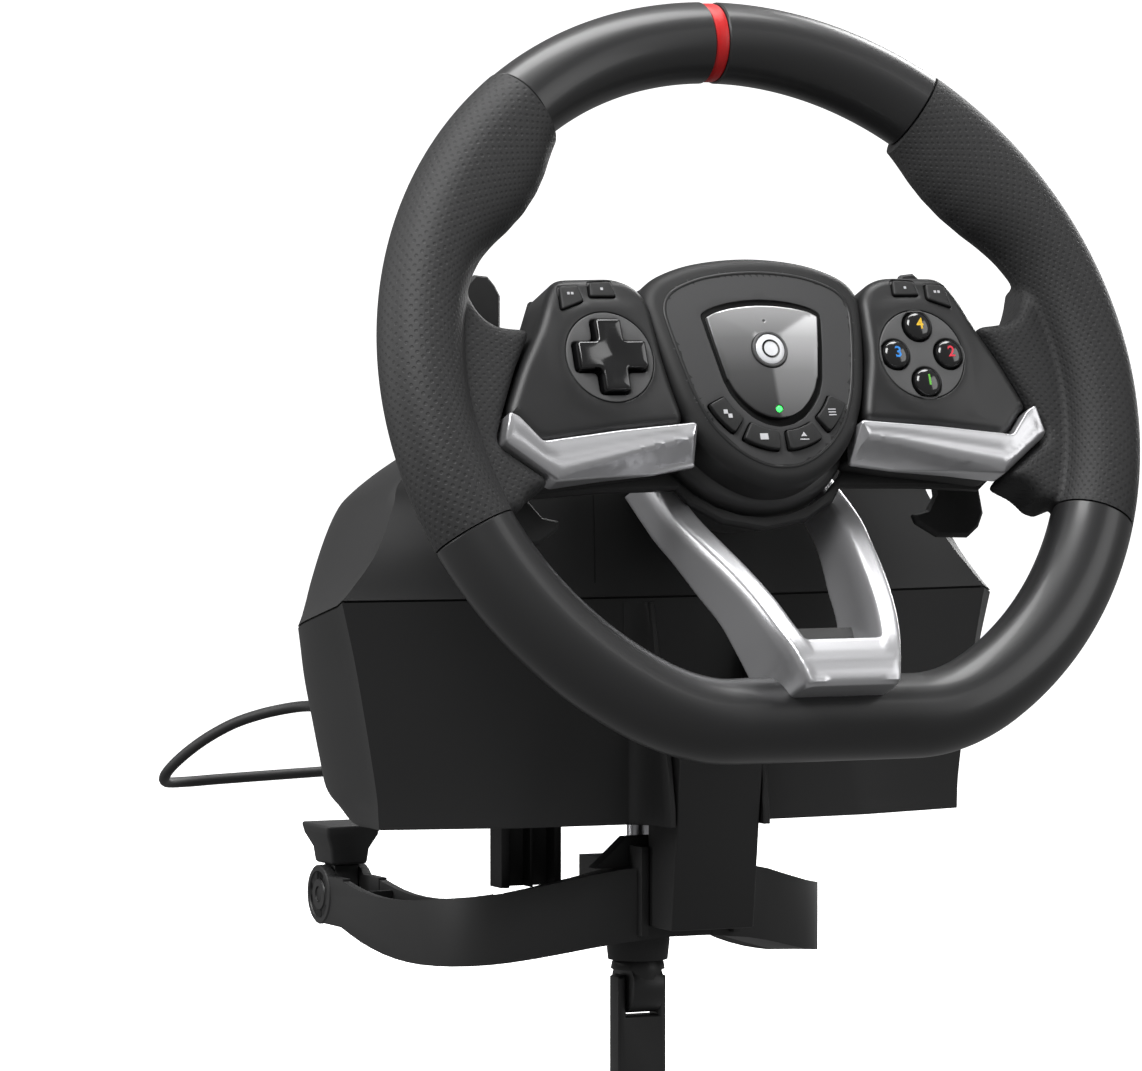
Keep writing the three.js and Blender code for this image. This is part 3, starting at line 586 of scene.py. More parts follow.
def sweep_plane(path, radius, sides=64, soft=0.5):
    """A round tube along a line in the wheel's plane, with softly rounded ends."""
    p = np.array(path, float)
    d = np.gradient(p, axis=0)
    d /= np.linalg.norm(d, axis=1, keepdims=True)
    side = np.cross(d, (0, 0, 1))
    loops = []
    for k, (q, s) in enumerate(zip(p, side)):
        r = radius - (soft if k in (0, len(p) - 1) else 0)
        loops.append(
            [
                q + s * r * cos(2 * pi * i / sides) + np.array((0, 0, 1)) * r * sin(2 * pi * i / sides)
                for i in range(sides)
            ]
        )
    return rings(loops)


def arc_line(a, b, n):
    """The middle line of the rim from one angle to another, with a short first and last step."""
    near = 0.5 / R * 180 / pi * (1 if b > a else -1)
    return [polar(t) for t in (a, *np.linspace(a + near, b - near, n), b)]


for side, sgn in (("right", 1), ("left", -1)):
    line = [q * (sgn, 1, 1) for q in arc_line(SEAM + 0.14, 90 - 1.23, 60 // FINE)]
    piece("rim_arc_" + side + "_cover", *sweep_plane(line, T), "rim", cad="rim_arc_" + side)
band = [polar(t) for t in np.linspace(90 - 1.09, 90 + 1.09, 6)]
piece("marker_band", *sweep_plane(band, T - 0.45, soft=0.3), "red", cad="centre_band")

start = polar(-58)
reach = (start[1] - FLAT) / cos(radians(58))
flat_x = start[0] - reach * sin(radians(58)) - 16
half = arc_line(LOW - 0.14, -58, 36 // FINE)[:-1]
ctrl, stop = np.array((flat_x + 16, FLAT, 0)), np.array((flat_x, FLAT, 0))
half += [(1 - t) ** 2 * start + 2 * t * (1 - t) * ctrl + t * t * stop for t in np.linspace(0, 1, 24)]
half += [np.array((x, FLAT, 0)) for x in np.linspace(flat_x, 0, 8)[1:]]
low_line = half + [q * (-1, 1, 1) for q in half[::-1][1:]]
piece("lower_rim_cover", *sweep_plane(low_line, T + 0.3), "rim", cad="lower_rim")
print("rim pieces made")

# %% [markdown]
# ## Grips
# The grips are moulded rubber over the same ring: the inner side swells into a thumb rest above the
# spoke, and a flat tongue runs in along the spoke to the control pod. Ring and tongue are remeshed
# together and smoothed, which leaves a soft fillet between them, then the ends are cut square.
# Fine dots cover the rubber, laid out along the skin.

# %% Grips
DOT_PITCH = 3.46
THUMB = [
    (-30, 111.6), (0, 111.4), (12, 111.2), (17, 110.9), (21, 110.2), (25, 108.6), (29, 106),
    (33, 103.2), (38, 101.3), (43, 101.5), (47, 103.2), (51, 106.4), (56, 110.4), (60, 111),
]
TONGUE = [
    (85, -33), (94.5, -38), (99, -44.5), (112, -40), (124, -30), (126, 10), (118, 36), (107, 40.5),
    (104.6, 33), (101.6, 26.5), (96.4, 22.4), (83.6, 21.2), (91.6, 7.4), (99.2, -9.1), (103.2, -19.2),
]


def thumb_ring(deg, sides=56):
    """One section of the grip: round outside, drawn in towards the hub at the thumb rest."""
    inner = float(np.interp(deg, *zip(*THUMB)))
    t = T + 0.35
    loop = []
    for k in range(sides):
        a = 2 * pi * k / sides
        reach_in = t if cos(a) > 0 else R - inner
        wide = 1 + 0.012 * (R - inner - t) * cos(a) ** 2 * (cos(a) < 0)
        loop.append(polar(deg, R + reach_in * cos(a)) + (0, 0, t * sin(a) * wide))
    return loop


tongue = rounded(TONGUE, 3, 5)
for side, sgn in (("right", 1), ("left", -1)):
    ring_part = rings([thumb_ring(d) for d in np.linspace(LOW - 2.5, SEAM + 2.5, 90)])
    tongue_part = relief(tongue, -15.8, 3.4, 4.2, steps=5)
    bm = remeshed(
        "grip_skin", [ring_part, tongue_part], 0.95,
        9,
    )
    cut(bm, polar(SEAM), np.cross((0, 0, 1), polar(SEAM)))
    cut(bm, polar(LOW), np.cross(polar(LOW), (0, 0, 1)))
    bm.verts.index_update()
    verts, faces = unpacked(bm, sgn)
    skin = []
    for x, y, z in verts:
        r, along = np.hypot(x, y), np.arctan2(y, abs(x)) * R
        if r > R:
            walk = T * np.arctan2(z, r - R)
        else:
            walk = np.sign(z) * (T * pi / 2 + (R - r) + max(0.0, T - abs(z)))
        skin.append(((along + walk) / DOT_PITCH, (along - walk) / DOT_PITCH))
    piece("grip_" + side + "_cover", verts, faces, "grip", cad="grip_" + side, skin=skin, sharp=60, weld=0)
print("grips made")

# %% [markdown]
# ## Hub
# The cover is a moulded shell with a sloped frame round a flat face. A shield-shaped plate sits in
# the middle, with the round centre button, a small light, and four keys round its lower edge. The
# cover and the plate are reliefs: their openings are cut right through the face, so that the keys sit
# in real recesses with a shadow round them, and the faces are painted by where they lie: a painted
# shadow on the floors of the recesses, and a painted reflection on the plate, dark low and light high.


# %% Hub cover, plate and keys
def both_sides(half):
    """The outline made whole by its mirror image."""
    return [*half, *[(-x, y) for x, y in reversed(half) if x]]


BEZEL = both_sides(
    [
        (0, -36.4), (5.5, -36), (11.5, -34), (17.5, -30.6), (23.5, -25.6), (29, -18.8), (32.4, -12),
        (35.3, -4), (38.4, 9.5), (40.7, 23), (41.2, 31), (38.6, 37), (32, 41.3), (19, 45), (0, 46.5),
    ]
)
SHIELD = [
    (0, -16.1), (5, -15.2), (9.5, -12.9), (13.2, -9.4), (16.4, -5), (18.4, 0), (20.6, 12), (22.5, 24.6),
    (18, 26.8), (12, 28.3), (6, 29.1), (0, 29.4),
]
bezel = curve2d(BEZEL, 6)
shield = rounded(both_sides(SHIELD), 1.6, 4)
KEY_IN, KEY_OUT, KEY_RING, KEY_UP = 21.6, 28.3, 25, 3.6
KEYS = [("view_key", -142, 13), ("capture_key", -107.5, 14), ("share_key", -72.5, 14), ("menu_key", -38, 13)]


def key_shape(deg, half, grow=0.0):
    """A key between two arcs round a point just above the middle of the wheel, widened by grow."""
    reach = half + grow / KEY_RING * 180 / pi
    edge = []
    for r, ends in ((KEY_IN - grow, (-1, 1)), (KEY_OUT + grow, (1, -1))):
        for t in np.linspace(*ends, 7):
            a = radians(deg + t * reach)
            edge.append((r * cos(a), KEY_UP + r * sin(a)))
    return rounded(edge, 1.0, 3)


def slope(x, y):
    """The height of the hub's face, which falls away from the middle."""
    return 7.0 - 0.0022 * (x * x + (y - 5) ** 2)


holes = [inset(shield, -0.25), *[key_shape(d, h, 0.35) for _, d, h in KEYS]]
frame_line = curve2d([(x * 0.845, 4.5 + (y - 4.5) * 0.845) for x, y in BEZEL], 6)
panel_line = inset(frame_line, 0.4)


def hub_paint(c):
    """Black frame, grey panel inside it, and shadow on the floors of the recesses."""
    if not inside((c.x, c.y), panel_line):
        return 0
    return 2 if c.z < slope(c.x, c.y) - 0.5 else 1


piece(
    "hub_cover", *relief(bezel, -11, slope, 4.4, holes, 2.6, 0.25, 2.4, 8), ["black", "panel", "seam"],
    cad="hub_bezel", sharp=40, paint=hub_paint,
)
ring = [
    [(*q, slope(*q) + dz) for q in inset(frame_line, d)]
    for d, dz in ((-0.5, -0.3), (-0.35, 0.22), (0.15, 0.32), (0.6, 0.2), (0.9, -0.3))
]
piece("hub_frame_edge", *rings(ring, close=False), "satin", sharp=60)


def shield_face(x, y):
    """Three shallow facets: an upper one and two sides, meeting in creases from the top corners."""
    side = 7.7 - 0.07 * abs(x) - 0.012 * max(0.0, 6 - y)
    return min(side, 7.7 - 0.12 * (y - 14))


plate_line = inset(shield, 1.5) + np.array([(0, -0.5 if y > 12 else 0.9 if y < 0 else 0) for _, y in shield])
face_holes = [circle(0, 10.9, 6.6), circle(0, 21.6, 0.5, 16), circle(0, -10.3, 1.3, 20)]
piece(
    "centre_plate", *relief(plate_line, 4.7, shield_face, 0.5, face_holes, 2.7, 0.25, 0.9, 3), "shield",
    cad="shield_plate", sharp=14,
)
button = (0, 10.9, 0)
piece(
    "home_ring",
    *lathe(
        [(6.4, 6.3), (6.4, 8.0), (6.1, 8.3), (5.7, 8.3), (5.5, 8.0), (5.5, 7.6), (0.01, 7.4)], 56,
        button,
    ),
    "dish", "home", cad="home_button",
)
piece(
    "home_lens", *lathe([(5.3, 7.3), (5.3, 7.9), (4.9, 8.2), (3, 8.42), (0.01, 8.5)], 56, button),
    "white", "home",
)
mark = [
    [(a * cos(2 * pi * k / 48), a * sin(2 * pi * k / 48) + 10.9, n) for k in range(48)]
    for a, n in ((3.3, 8.2), (3.3, 8.5), (2.6, 8.54), (2.6, 8.2))
]
piece("home_mark", *rings([*mark, mark[0]], close=False), "gloss", "home", sharp=50)
piece(
    "light_lens", *lathe([(1.0, 5.4), (1.0, 7.35), (0.6, 7.6), (0.01, 7.65)], 24, (0, -10.3, 0)),
    "green", cad="status_light",
)
for name, deg, half_w in KEYS:
    body = name.replace("_key", "")
    piece(name + "_cap", *relief(key_shape(deg, half_w), 5.5, 7.25, 0.5, steps=3), "black", body, cad=name)
print("hub made")

# %% [markdown]
# The keys carry small printed marks: two windows, a frame, an arrow over a bar, and three bars. Each
# is a low raised shape of its own, because a thin solid keeps a crisp edge at any distance.


# %% Key marks
def flat_mark(name, loops, n, body, mat="mark", thick=0.16):
    """Printed shapes that stand a little above the surface at height n."""
    for k, loop in enumerate(loops):
        piece(f"{name}_{k}", *relief(np.array(loop, float), n - 0.1, n + thick, 0.05, steps=1), mat, body)


def square(x, y, w, h):
    """A rectangle by its middle and its half sides."""
    return [(x - w, y - h), (x + w, y - h), (x + w, y + h), (x - w, y + h)]


for name, deg, _ in KEYS:
    cx, cy = 24.9 * cos(radians(deg)), 3.6 + 24.9 * sin(radians(deg))
    body = name.replace("_key", "")
    if body == "view":
        loops = [square(cx - 0.7, cy + 0.6, 0.75, 0.75), square(cx + 0.8, cy - 0.9, 0.75, 0.75)]
    elif body == "capture":
        loops = [square(cx, cy, 1.5, 1.1)]
    elif body == "share":
        loops = [square(cx, cy - 1.2, 1.7, 0.2), [(cx - 1.1, cy - 0.1), (cx + 1.1, cy - 0.1), (cx, cy + 1.4)]]
    else:
        loops = [square(cx, cy + k, 1.4, 0.2) for k in (-1, 0, 1)]
    flat_mark(name + "_mark", loops, 7.25, body)

# %% [markdown]
# The rear of the hub is a satin bowl that narrows back to the steering shaft. Both are round, so
# each is turned from a profile.

# %% Bowl and shaft
bowl = [
    (9.2, -55.8), (22, -56), (24.4, -55.4), (28, -53.3), (31, -51), (34.6, -46.8), (37.5, -42),
    (39.2, -36), (39.8, -30), (39.9, -24), (39.4, -18), (38.2, -14), (36.6, -11.6), (30, -11.4),
]
piece("hub_bowl", *lathe(bowl, 96), "bowl", cad="hub_rear_cover", sharp=60)
piece("shaft", *lathe([(8, -143), (8, -56)], 48), "steel", cad="steering_shaft")
print("bowl made")

# %% [markdown]
# ## Control pods
# Each pod is a moulded housing with a round dish. The left dish has the direction pad, the right one
# four domed buttons; two small buttons sit on the sloped panel above each dish. The two housings are
# mirror images, so one outline and one height make both.

# %% Pods
POD = [
    (33.5, -13.7), (60, -16), (88, -19.3), (95.3, -10.6), (98.2, -8.6), (90.4, 7.6), (82, 21.9),
    (77.6, 32), (73, 39), (51, 39.4), (44, 36.5), (40, 31), (38.6, 10), (35.6, -4),
]
PX, PY = 58.8, 9.5
SHOULDERS = {"inner": (57.3, 34.2, 4.8), "outer": (69.2, 32.6, 4.3)}


def shoulder(x, y, w, g=0.0):
    """The outline of a shoulder key, widened by g; the outer keys drop towards the rim."""
    drop = 3.2 if x > 60 else 0
    return rounded(
        [
            (x - w - g, y - 2.8 - g), (x + w + g, y - 2.8 - g - drop), (x + w - 0.9 + g, y + 2.6 + g),
            (x - w + 0.8 - g, y + 3 + g),
        ],
        1.0, 4,
    )


def pod_height(x, y):
    """Raised round the dish, falling away to the outer lower corner and to the upper panel."""
    d = ((x - PX) ** 2 + (y - PY) ** 2) ** 0.5
    h = 4.2 + 1.0 * np.exp(-(((d - 17) / 5) ** 2))
    h -= 0.09 * max(0.0, x - 76) + 0.05 * max(0.0, -8 - y)
    h -= 0.13 * max(0.0, y - 27)
    return float(h)


pod_outline = rounded(POD, 4.5, 7)
for side, sgn in (("right", 1), ("left", -1)):
    mirror = np.array((sgn, 1.0))
    holes = [circle(PX, PY, 16.15, 72), *[shoulder(*at, 0.35) for at in SHOULDERS.values()]]
    holes = [h * mirror for h in holes]
    verts, faces = relief(
        pod_outline * mirror, -16, lambda x, y: pod_height(abs(x), y), 3.6, holes, 4.6, 0.4, 2.2, 7,
    )
    piece("pod_" + side + "_housing", verts, faces, "satin", cad="control_pod_" + side, sharp=34)
    for which, at in SHOULDERS.items():
        key = shoulder(*at) * mirror
        body = f"{which}_shoulder_{side}"
        cap = relief(key, 0, lambda x, y: pod_height(abs(x), y) + 1.0, 0.7, steps=4)
        piece(f"{which}_{side}_cap", *cap, "black", body, cad=f"{which}_shoulder_button_{side}")
        shifts = (-0.7, 0.7) if which == "outer" else (0,)
        dots = [square(sgn * at[0] + shift, at[1], 0.45, 0.45) for shift in shifts]
        flat_mark(f"{which}_{side}_mark", dots, pod_height(at[0], at[1]) + 0.98, body)
print("pods made")

# %% [markdown]
# Each dish is a flat disc sunk into its pod, with wells cut through its face. The direction pad is a
# cross that dips in the middle, on a hidden rocker. The round buttons are low domes turned from one
# profile, and each carries a coloured digit cut from flat text.


# %% Dishes, direction pad and round buttons
def cross(h, a):
    """A plus sign with arms of reach h and half width a."""
    return [
        (-a, -h), (a, -h), (a, -a), (h, -a), (h, a), (a, a), (a, h), (-a, h), (-a, a), (-h, a),
        (-h, -a), (-a, -a),
    ]


BUTTONS = [
    ("lower", 0, -10.2, "leaf", "1"), ("right", 10.2, 0, "crimson", "2"),
    ("left", -10.2, 0, "blue", "3"), ("upper", 0, 10.2, "yellow", "4"),
]
well = rounded(cross(13.5, 5.6), 1.8, 5) + (-PX, PY)
piece(
    "left_dish", *relief(circle(-PX, PY, 15.9, 96), 0, 5.3, 0.35, [well], 4.4, 0.5, steps=3), "dish",
    cad="dpad_dish",
)
piece("dpad_well", *relief(inset(well, 0.1), 0.3, 1.0, 0.1, steps=1), "gloss", sharp=40)
wells = [circle(PX + dx, PY + dy, 5.75, 48) for _, dx, dy, *_ in BUTTONS]
piece(
    "right_dish", *relief(circle(PX, PY, 15.9, 96), 0, 5.3, 0.35, wells, 4.4, 0.4, steps=3), "dish",
    cad="button_dish",
)


def dip(x, y):
    """The height of the direction pad, with a soft hollow in the middle."""
    return 8.7 - 1.1 * np.exp(-(((x + PX) ** 2 + (y - PY) ** 2) / 22))


piece(
    "dpad_cap",
    *relief(rounded(cross(12.6, 4.7), 1.2, 5) + (-PX, PY), 2.4, dip, 1.1, grid=1.2, steps=5), "gloss",
    "dpad", cad="dpad", sharp=50,
)
CAP = [
    (5, 2.6), (5, 5.3), (4.9, 5.9), (4.6, 6.45), (4.1, 6.9), (3.3, 7.25), (2.2, 7.5), (1.1, 7.62),
    (0.01, 7.66),
]
for name, dx, dy, tint, digit in BUTTONS:
    at = (PX + dx, PY + dy, 0)
    piece(
        "face_" + name + "_well", *lathe([(5.6, 0.3), (5.6, 0.9), (5.1, 1.0), (0.01, 1.0)], 40, at),
        "gloss",
    )
    piece(
        "face_" + name + "_cap", *lathe(CAP, 48, at), "gloss", "face_" + name,
        cad="face_button_" + name, sharp=60,
    )
    text = bpy.data.curves.new("digit_" + digit, "FONT")
    text.body, text.size, text.extrude, text.align_x, text.align_y = digit, 5.4, 0.07, "CENTER", "CENTER"
    text.offset = 0.08
    holder = bpy.data.objects.new("digit", text)
    scene.collection.objects.link(holder)
    bpy.context.view_layer.update()
    mesh = bpy.data.meshes.new_from_object(holder.evaluated_get(bpy.context.evaluated_depsgraph_get()))
    bpy.data.objects.remove(holder)
    mesh.name = "digit_" + digit
    mesh.materials.clear()
    mesh.transform(Matrix.Translation((at[0], at[1], 7.62)))
    settle("face_" + name + "_digit", mesh, tint, "face_" + name, (), ON_WHEEL, 30)
refined("dpad_rocker", "satin", 0.2)
print("dishes made")

# %% [markdown]
# ## Spokes and paddles
# Silver-painted trims run under the pods to the rim; a third, forked spoke drops from behind the hub
# to the flat of the rim. The back shell carries the two shift paddles on upright pins. Each trim is a
# relief with a channel along it and a dark part under it that keeps its edge from floating.

# %% Silver trims
ARM = [
    (29, -26.5), (44.6, -28.9), (65, -30.8), (84, -33.2), (101.8, -19.8), (98.9, -9.4), (95.4, -11.2),
    (88.2, -20.0), (60, -16.6), (31, -14.1),
]
arm_outline = rounded(ARM, 1.2, 4)


def arm_top(x, y):
    """A flat upper band with a shallow channel under it, then a roll-over that starts higher near the hub."""
    x = abs(x)
    upper = float(np.interp(x, [29, 60, 88, 96, 102], [-14.1, -16.6, -20, -11.2, -12]))
    lower = float(np.interp(x, [29, 45, 65, 84, 102], [-20.6, -23.6, -28.6, -33.0, -20]))
    t = max(0.0, (upper - y) / max(upper - lower, 1))
    face = 6.0 - 0.8 * np.exp(-(((t - 0.5) / 0.17) ** 2)) - 3.6 * min(0.5, max(0.0, t - 0.55)) ** 2 / 0.2
    return max(-4.0, face - 1.3 * max(0.0, lower - y))


for side, sgn in (("right", 1), ("left", -1)):
    m = np.array((sgn, 1.0))
    piece(
        "trim_" + side + "_bar", *relief(arm_outline * m, -5.8, arm_top, 0.8, grid=1.3, steps=4),
        "silver", cad="silver_arm_" + side, sharp=44,
    )
    under = rounded(
        [
            (30, -24.5), (45, -27), (65, -29), (83, -31.4), (100.2, -19.6), (95, -13), (60, -18),
            (31, -16),
        ],
        1.5, 4,
    ) * m
    piece("trim_" + side + "_underlay", *relief(under, -16.2, -4.5, 0.8, steps=2), "black")

# %% [markdown]
# The forked spoke is one casting: two struts that come forward and together as they drop, joined by
# a broad foot on the rim. Each strut is a row of sections on a smooth line. Struts and foot are
# remeshed into one skin, because the rounded corners where they meet have no edge of their own.

# %% Forked spoke
RIDGE = np.array(
    [
        (36.2, -22, -29.5, -48), (35.6, -41.5, -13.3, -34), (33, -54, -3, -26), (29.6, -67.6, 7.9, -19),
        (26.6, -80, 16.4, -12), (24, -91, 22.2, -9), (21, -101, 26.4, -8), (17.6, -113.5, 28.6, -6),
    ],
    float,
)
WIDTH = np.array([11, 11, 10.6, 10, 9.6, 9.4, 9.2, 9])
fine = np.linspace(0, 7, 50)


def spline(values, t):
    """A smooth curve through values at 0, 1, 2..."""
    v = np.concatenate([[2 * values[0] - values[1]], values, [2 * values[-1] - values[-2]]])
    i = np.minimum(t.astype(int), len(values) - 2)
    f = t - i
    a, b, c, d = v[i], v[i + 1], v[i + 2], v[i + 3]
    return 0.5 * (2 * b + (c - a) * f + (2 * a - 5 * b + 4 * c - d) * f**2 + (3 * b - a - 3 * c + d) * f**3)


RX, RV, RN, RB, RW = (spline(c, fine) for c in (*RIDGE.T, WIDTH))


def strut_ring(x, v, n, back, w, sgn):
    """A front band between two edges that roll deeply into the outer and the inner wall."""
    quarter = [pi / 2 * k / 8 for k in range(9)]
    pts = [(x - 0.2 * w * (1 - cos(a)), n - 7.5 * (1 - sin(a))) for a in quarter]
    pts += [(x - w + 0.24 * w * (1 - sin(a)), n - 9.5 * (1 - cos(a))) for a in quarter]
    pts += [(x - w, back + 1), (x - w + 1, back), (x - 1, back), (x, back + 1)]
    return [(sgn * px, v, pn) for px, pn in pts]


def foot_ring(v, n, w, r, back):
    """A section of the foot with rounded front corners."""
    pts = [(-w + r * (1 - cos(pi / 2 * k / 6)), n - r + r * sin(pi / 2 * k / 6)) for k in range(7)]
    pts += [(w - r * (1 - sin(pi / 2 * k / 6)), n - r * (1 - cos(pi / 2 * k / 6))) for k in range(7)]
    return [*[(x, v, d) for x, d in pts], (w, v, back), (-w, v, back)]


FOOT = [
    (-97.2, 24.6, 21.2, 2.2, 14), (-102, 26.5, 20.4, 3, 8), (-106, 27.8, 19.3, 3.4, 2),
    (-110, 28.4, 18.2, 3.6, -5), (-112.4, 28.2, 17.6, 3.8, -5), (-113.6, 27.4, 17.2, 3.6, -5),
    (-114.2, 25.6, 17.0, 3.2, -5),
]
fork_parts = [rings([strut_ring(*row, sgn) for row in zip(RX, RV, RN, RB, RW)]) for sgn in (1, -1)]
fork = remeshed(
    "fork_skin", [*fork_parts, rings([foot_ring(*f) for f in FOOT])], 0.62,
    3,
)
fork.verts.index_update()
piece("fork_body", *unpacked(fork), "silver", cad="lower_spoke", sharp=70, weld=0)
shelf = [
    [(-w, v, n), (w, v, n), (w, v, n - 4), (-w, v, n - 4)]
    for v, n, w in ((-86.5, 2, 16.2), (-92, 5, 14.6), (-98, 11, 12.8), (-101, 14.5, 12))
]
piece("fork_shelf", *rings(shelf), "black", cad="lower_spoke_liner", sharp=40)
refined("wheel_back_shell", "black", 0.6)
for side in ("right", "left"):
    refined("shift_paddle_" + side, "black", 0.9, 3)
print("spokes made")

# %% [markdown]
# ## Base
# The base is a two-part moulded housing: a nearly flat front with soft facets, and round sides and
# back that tuck in under the edge. The seam between the parts runs level at the front and drops
# towards the back. Both parts are lofted through level outlines, whose sizes come from a short table
# that a spline fills in, so the sides stay smooth while the front keeps its facets.

# %% Housings
SEAM_Z = 78.8


def seam_z(y):
    """The height of the seam between the two housings, which drops towards the back."""
    return 60 + (SEAM_Z - 60) * np.exp(-max(0.0, y + 60) / 58)


def plan(corner, y0, front, bend, scale, d=0.0, dense=10):
    """One level outline of the base, drawn in by d: a faceted front and a half-oval behind it."""
    c = corner - d
    y0, front = y0 + d, front + d
    head = [
        (-c, y0), (-bend, front + 3.6), (-bend * 0.5, front + 1), (0, front), (bend * 0.5, front + 1),
        (bend, front + 3.6), (c, y0),
    ]
    out = []
    for (x, y), (x2, y2) in zip(head, head[1:]):
        out += [(x + (x2 - x) * t, y + (y2 - y) * t) for t in np.linspace(0, 1, dense, endpoint=False)]
    for i in range(73):
        deg = -7 + 194 * i / 72
        k = min(1, min(deg + 7, 187 - deg) / 50)
        ease = k * k * (3 - 2 * k)
        half = c * (1 - ease) + (127 * scale - d) * ease
        out.append(
            (
                cos(radians(deg)) * half,
                max(
                    -40 + sin(radians(deg)) * (110 * scale - d),
                    y0 + 0.6 + 0.05 * i if i < 36 else y0 + 0.6 + 0.05 * (72 - i),
                ),
            )
        )
    return out


def levels(table, count):
    """Rows of the table filled in smoothly by their first column."""
    t = np.array(table, float)
    u = np.linspace(0, len(t) - 1, count)
    return np.stack([spline(t[:, k], u) for k in range(t.shape[1])], 1)


LOW_TABLE = [
    (0.5, 113.4, 0.76, 66), (1.6, 113.5, 0.82, 66), (5.5, 113.7, 0.875, 65), (12, 114.2, 0.932, 64),
    (26, 116.4, 0.955, 61), (42, 119.2, 0.975, 58), (60, 122.6, 0.995, 55), (79, 127, 1.0, 52),
]
low = levels(LOW_TABLE, 44)
low[-1, 0] = 79
loops = []
for z, c, s, bend in low:
    loops.append([(x, y, max(0.5, z / 79 * (seam_z(y) - 0.35))) for x, y in plan(c, -60, -76, bend, s)])
for d, dz in ((0.5, -0.02), (1.6, -0.05), (1.7, -1.8)):
    loops.append([(x, y, seam_z(y) - 0.35 + dz) for x, y in plan(127, -60, -76, 52, 1.0, d)])
piece("lower_housing_shell", *rings(loops), "black", "base", cad="lower_housing", place=IN_ROW, sharp=24)

TOP_TABLE = [
    (0, 127, -60, -76, 52, 1), (16, 113.7, -57.2, -72, 48, 0.985), (33, 104.2, -50.8, -67, 44, 0.93),
    (41, 101, -48.5, -64, 42, 0.86), (51, 90, -46, -61, 38, 0.71), (61, 66, -42, -56, 28, 0.52),
    (69, 40, -37, -48, 17, 0.34), (74, 16, -32, -38, 8, 0.18),
]
top = levels(TOP_TABLE, 44)
loops = [
    [(x, y, seam_z(y) - 1.6) for x, y in plan(127, -60, -76, 52, 1.0, 1.7)],
    [(x, y, seam_z(y) + 0.35) for x, y in plan(127, -60, -76, 52, 1.0, 0.9)],
]
for dz, c, y0, front, bend, s in top:
    loops.append(
        [
            (x, y, seam_z(y) * (1 - dz / 74) + (SEAM_Z + 74) * (dz / 74) + (0.45 if dz <= 0 else 0))
            for x, y in plan(c, y0, front, bend, s)
        ]
    )
piece("upper_cover_shell", *rings(loops), "black", "base", cad="upper_cover", place=IN_ROW, sharp=24)
# The panel line on the upper cover is a thin near-black strip: painted shadow where the groove between the
# two panels lies.
seam_line = []
for dz, c, y0, front, bend, s in top[2:34]:
    z = seam_z(-76) * (1 - dz / 74) + (SEAM_Z + 74) * dz / 74
    x = -38.6 + 5.6 * dz / 50
    y = float(np.interp(x, [-c, -bend, -bend / 2, 0], [y0, front + 3.6, front + 1, front]))
    seam_line.append(
        [
            (x - 0.22, y - 0.06, z), (x + 0.22, y - 0.06, z), (x + 0.22, y + 0.5, z),
            (x - 0.22, y + 0.5, z),
        ]
    )
piece("panel_line_shadow", *rings(seam_line), "seam", "base", place=IN_ROW, sharp=60)
collar = [(8.6, -64.5), (19, -64.5), (21, -66), (21.4, -78), (8.6, -78)]
piece("shaft_collar", *lathe(collar, 64), "satin", "base", sharp=40)

# %% [markdown]
# The clamp column runs up under a cowl whose two cheeks flare into the front of the housing. Each
# cheek is a stack of level sections, because its front edge leans while its inner wall stays upright.

# %% Cowl over the clamp column
for sgn in (1, -1):
    loops = []
    for z in np.linspace(0.6, 77, 40):
        yc = float(np.interp(z, [0.6, 6, 20, 40, 60, 77], [-93, -92.8, -90.5, -86, -79.8, -75.9]))
        yf = -75.0
        ring_pts = [(16.7, -62), (16.7, yc + 0.5), (17.2, yc), (18.7, yc), (19.3, yc + 0.6)]
        for t in np.linspace(0.08, 1, 10):
            ring_pts.append((19.4 + 9 * t, yc + (yf - yc) * (1 - (1 - t) ** 3)))
        ring_pts.append((28.4, -62))
        loops.append([(sgn * x, y, z) for x, y in ring_pts])
    piece(
        f"cowl_{'right' if sgn > 0 else 'left'}_cheek", *rings(loops), "black", "base", place=IN_ROW,
        sharp=40,
    )
print("housings made")

# %% [markdown]
# ## Clamp
# A column under the cowl guides a two-legged yoke. A screw with a ball-shaped knob and a fold-down
# lever draws the yoke up, and the rubber feet on its ends press under the board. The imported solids
# already have the right shapes here, so they are kept and their edges are rounded.

# %% Clamp pieces
refined("clamp_column", "black", 0.8, 3)
refined("clamp_arm", "black", 0.9, 3, 24)
refined("bottom_plate", "black", 0.5)
refined("desk_pad", "dark", 0.3)
refined("clamp_knuckle", "satin", 0.5, 2, 34)
refined("clamp_lever", "satin", 0.8, 3)
refined("clamp_screw", "steel", 0.3)
for side in ("right", "left"):
    refined("pad_bracket_" + side, "black", 0.4)
    refined("clamp_pad_" + side, "dark", 1.2, 3, 20)
    s = 1 if side == "right" else -1
    face = Matrix.Translation((s * 74.7, 86, -35.8)) @ Matrix.Rotation(s * pi / 2, 4, "Y")
    piece(
        "pivot_cap_" + side,
        *lathe(
            [
                (10.6, -0.2), (10.6, 0.0), (10.2, 0.35), (8.6, 0.35), (8.4, -0.1), (5.6, -0.1),
                (5.4, 0.35), (3.0, 0.35), (2.8, -0.4), (0.01, -0.4),
            ],
            64,
        ),
        "satin", "clamp_yoke", place=face, sharp=40,
    )
for n in ("bearing_block", "front_bearing", "rear_bearing"):
    refined(n, "satin" if "block" in n else "steel", 0.4)
refined("centring_spring", "steel", 0)
print("clamp made")

# %% [markdown]
# ## Lead, tie and plug
# The lead is a swept round tube along the line worked out at the start. A short ribbed boot guards
# it where it leaves the base, and one rubber tie holds the wound part together.


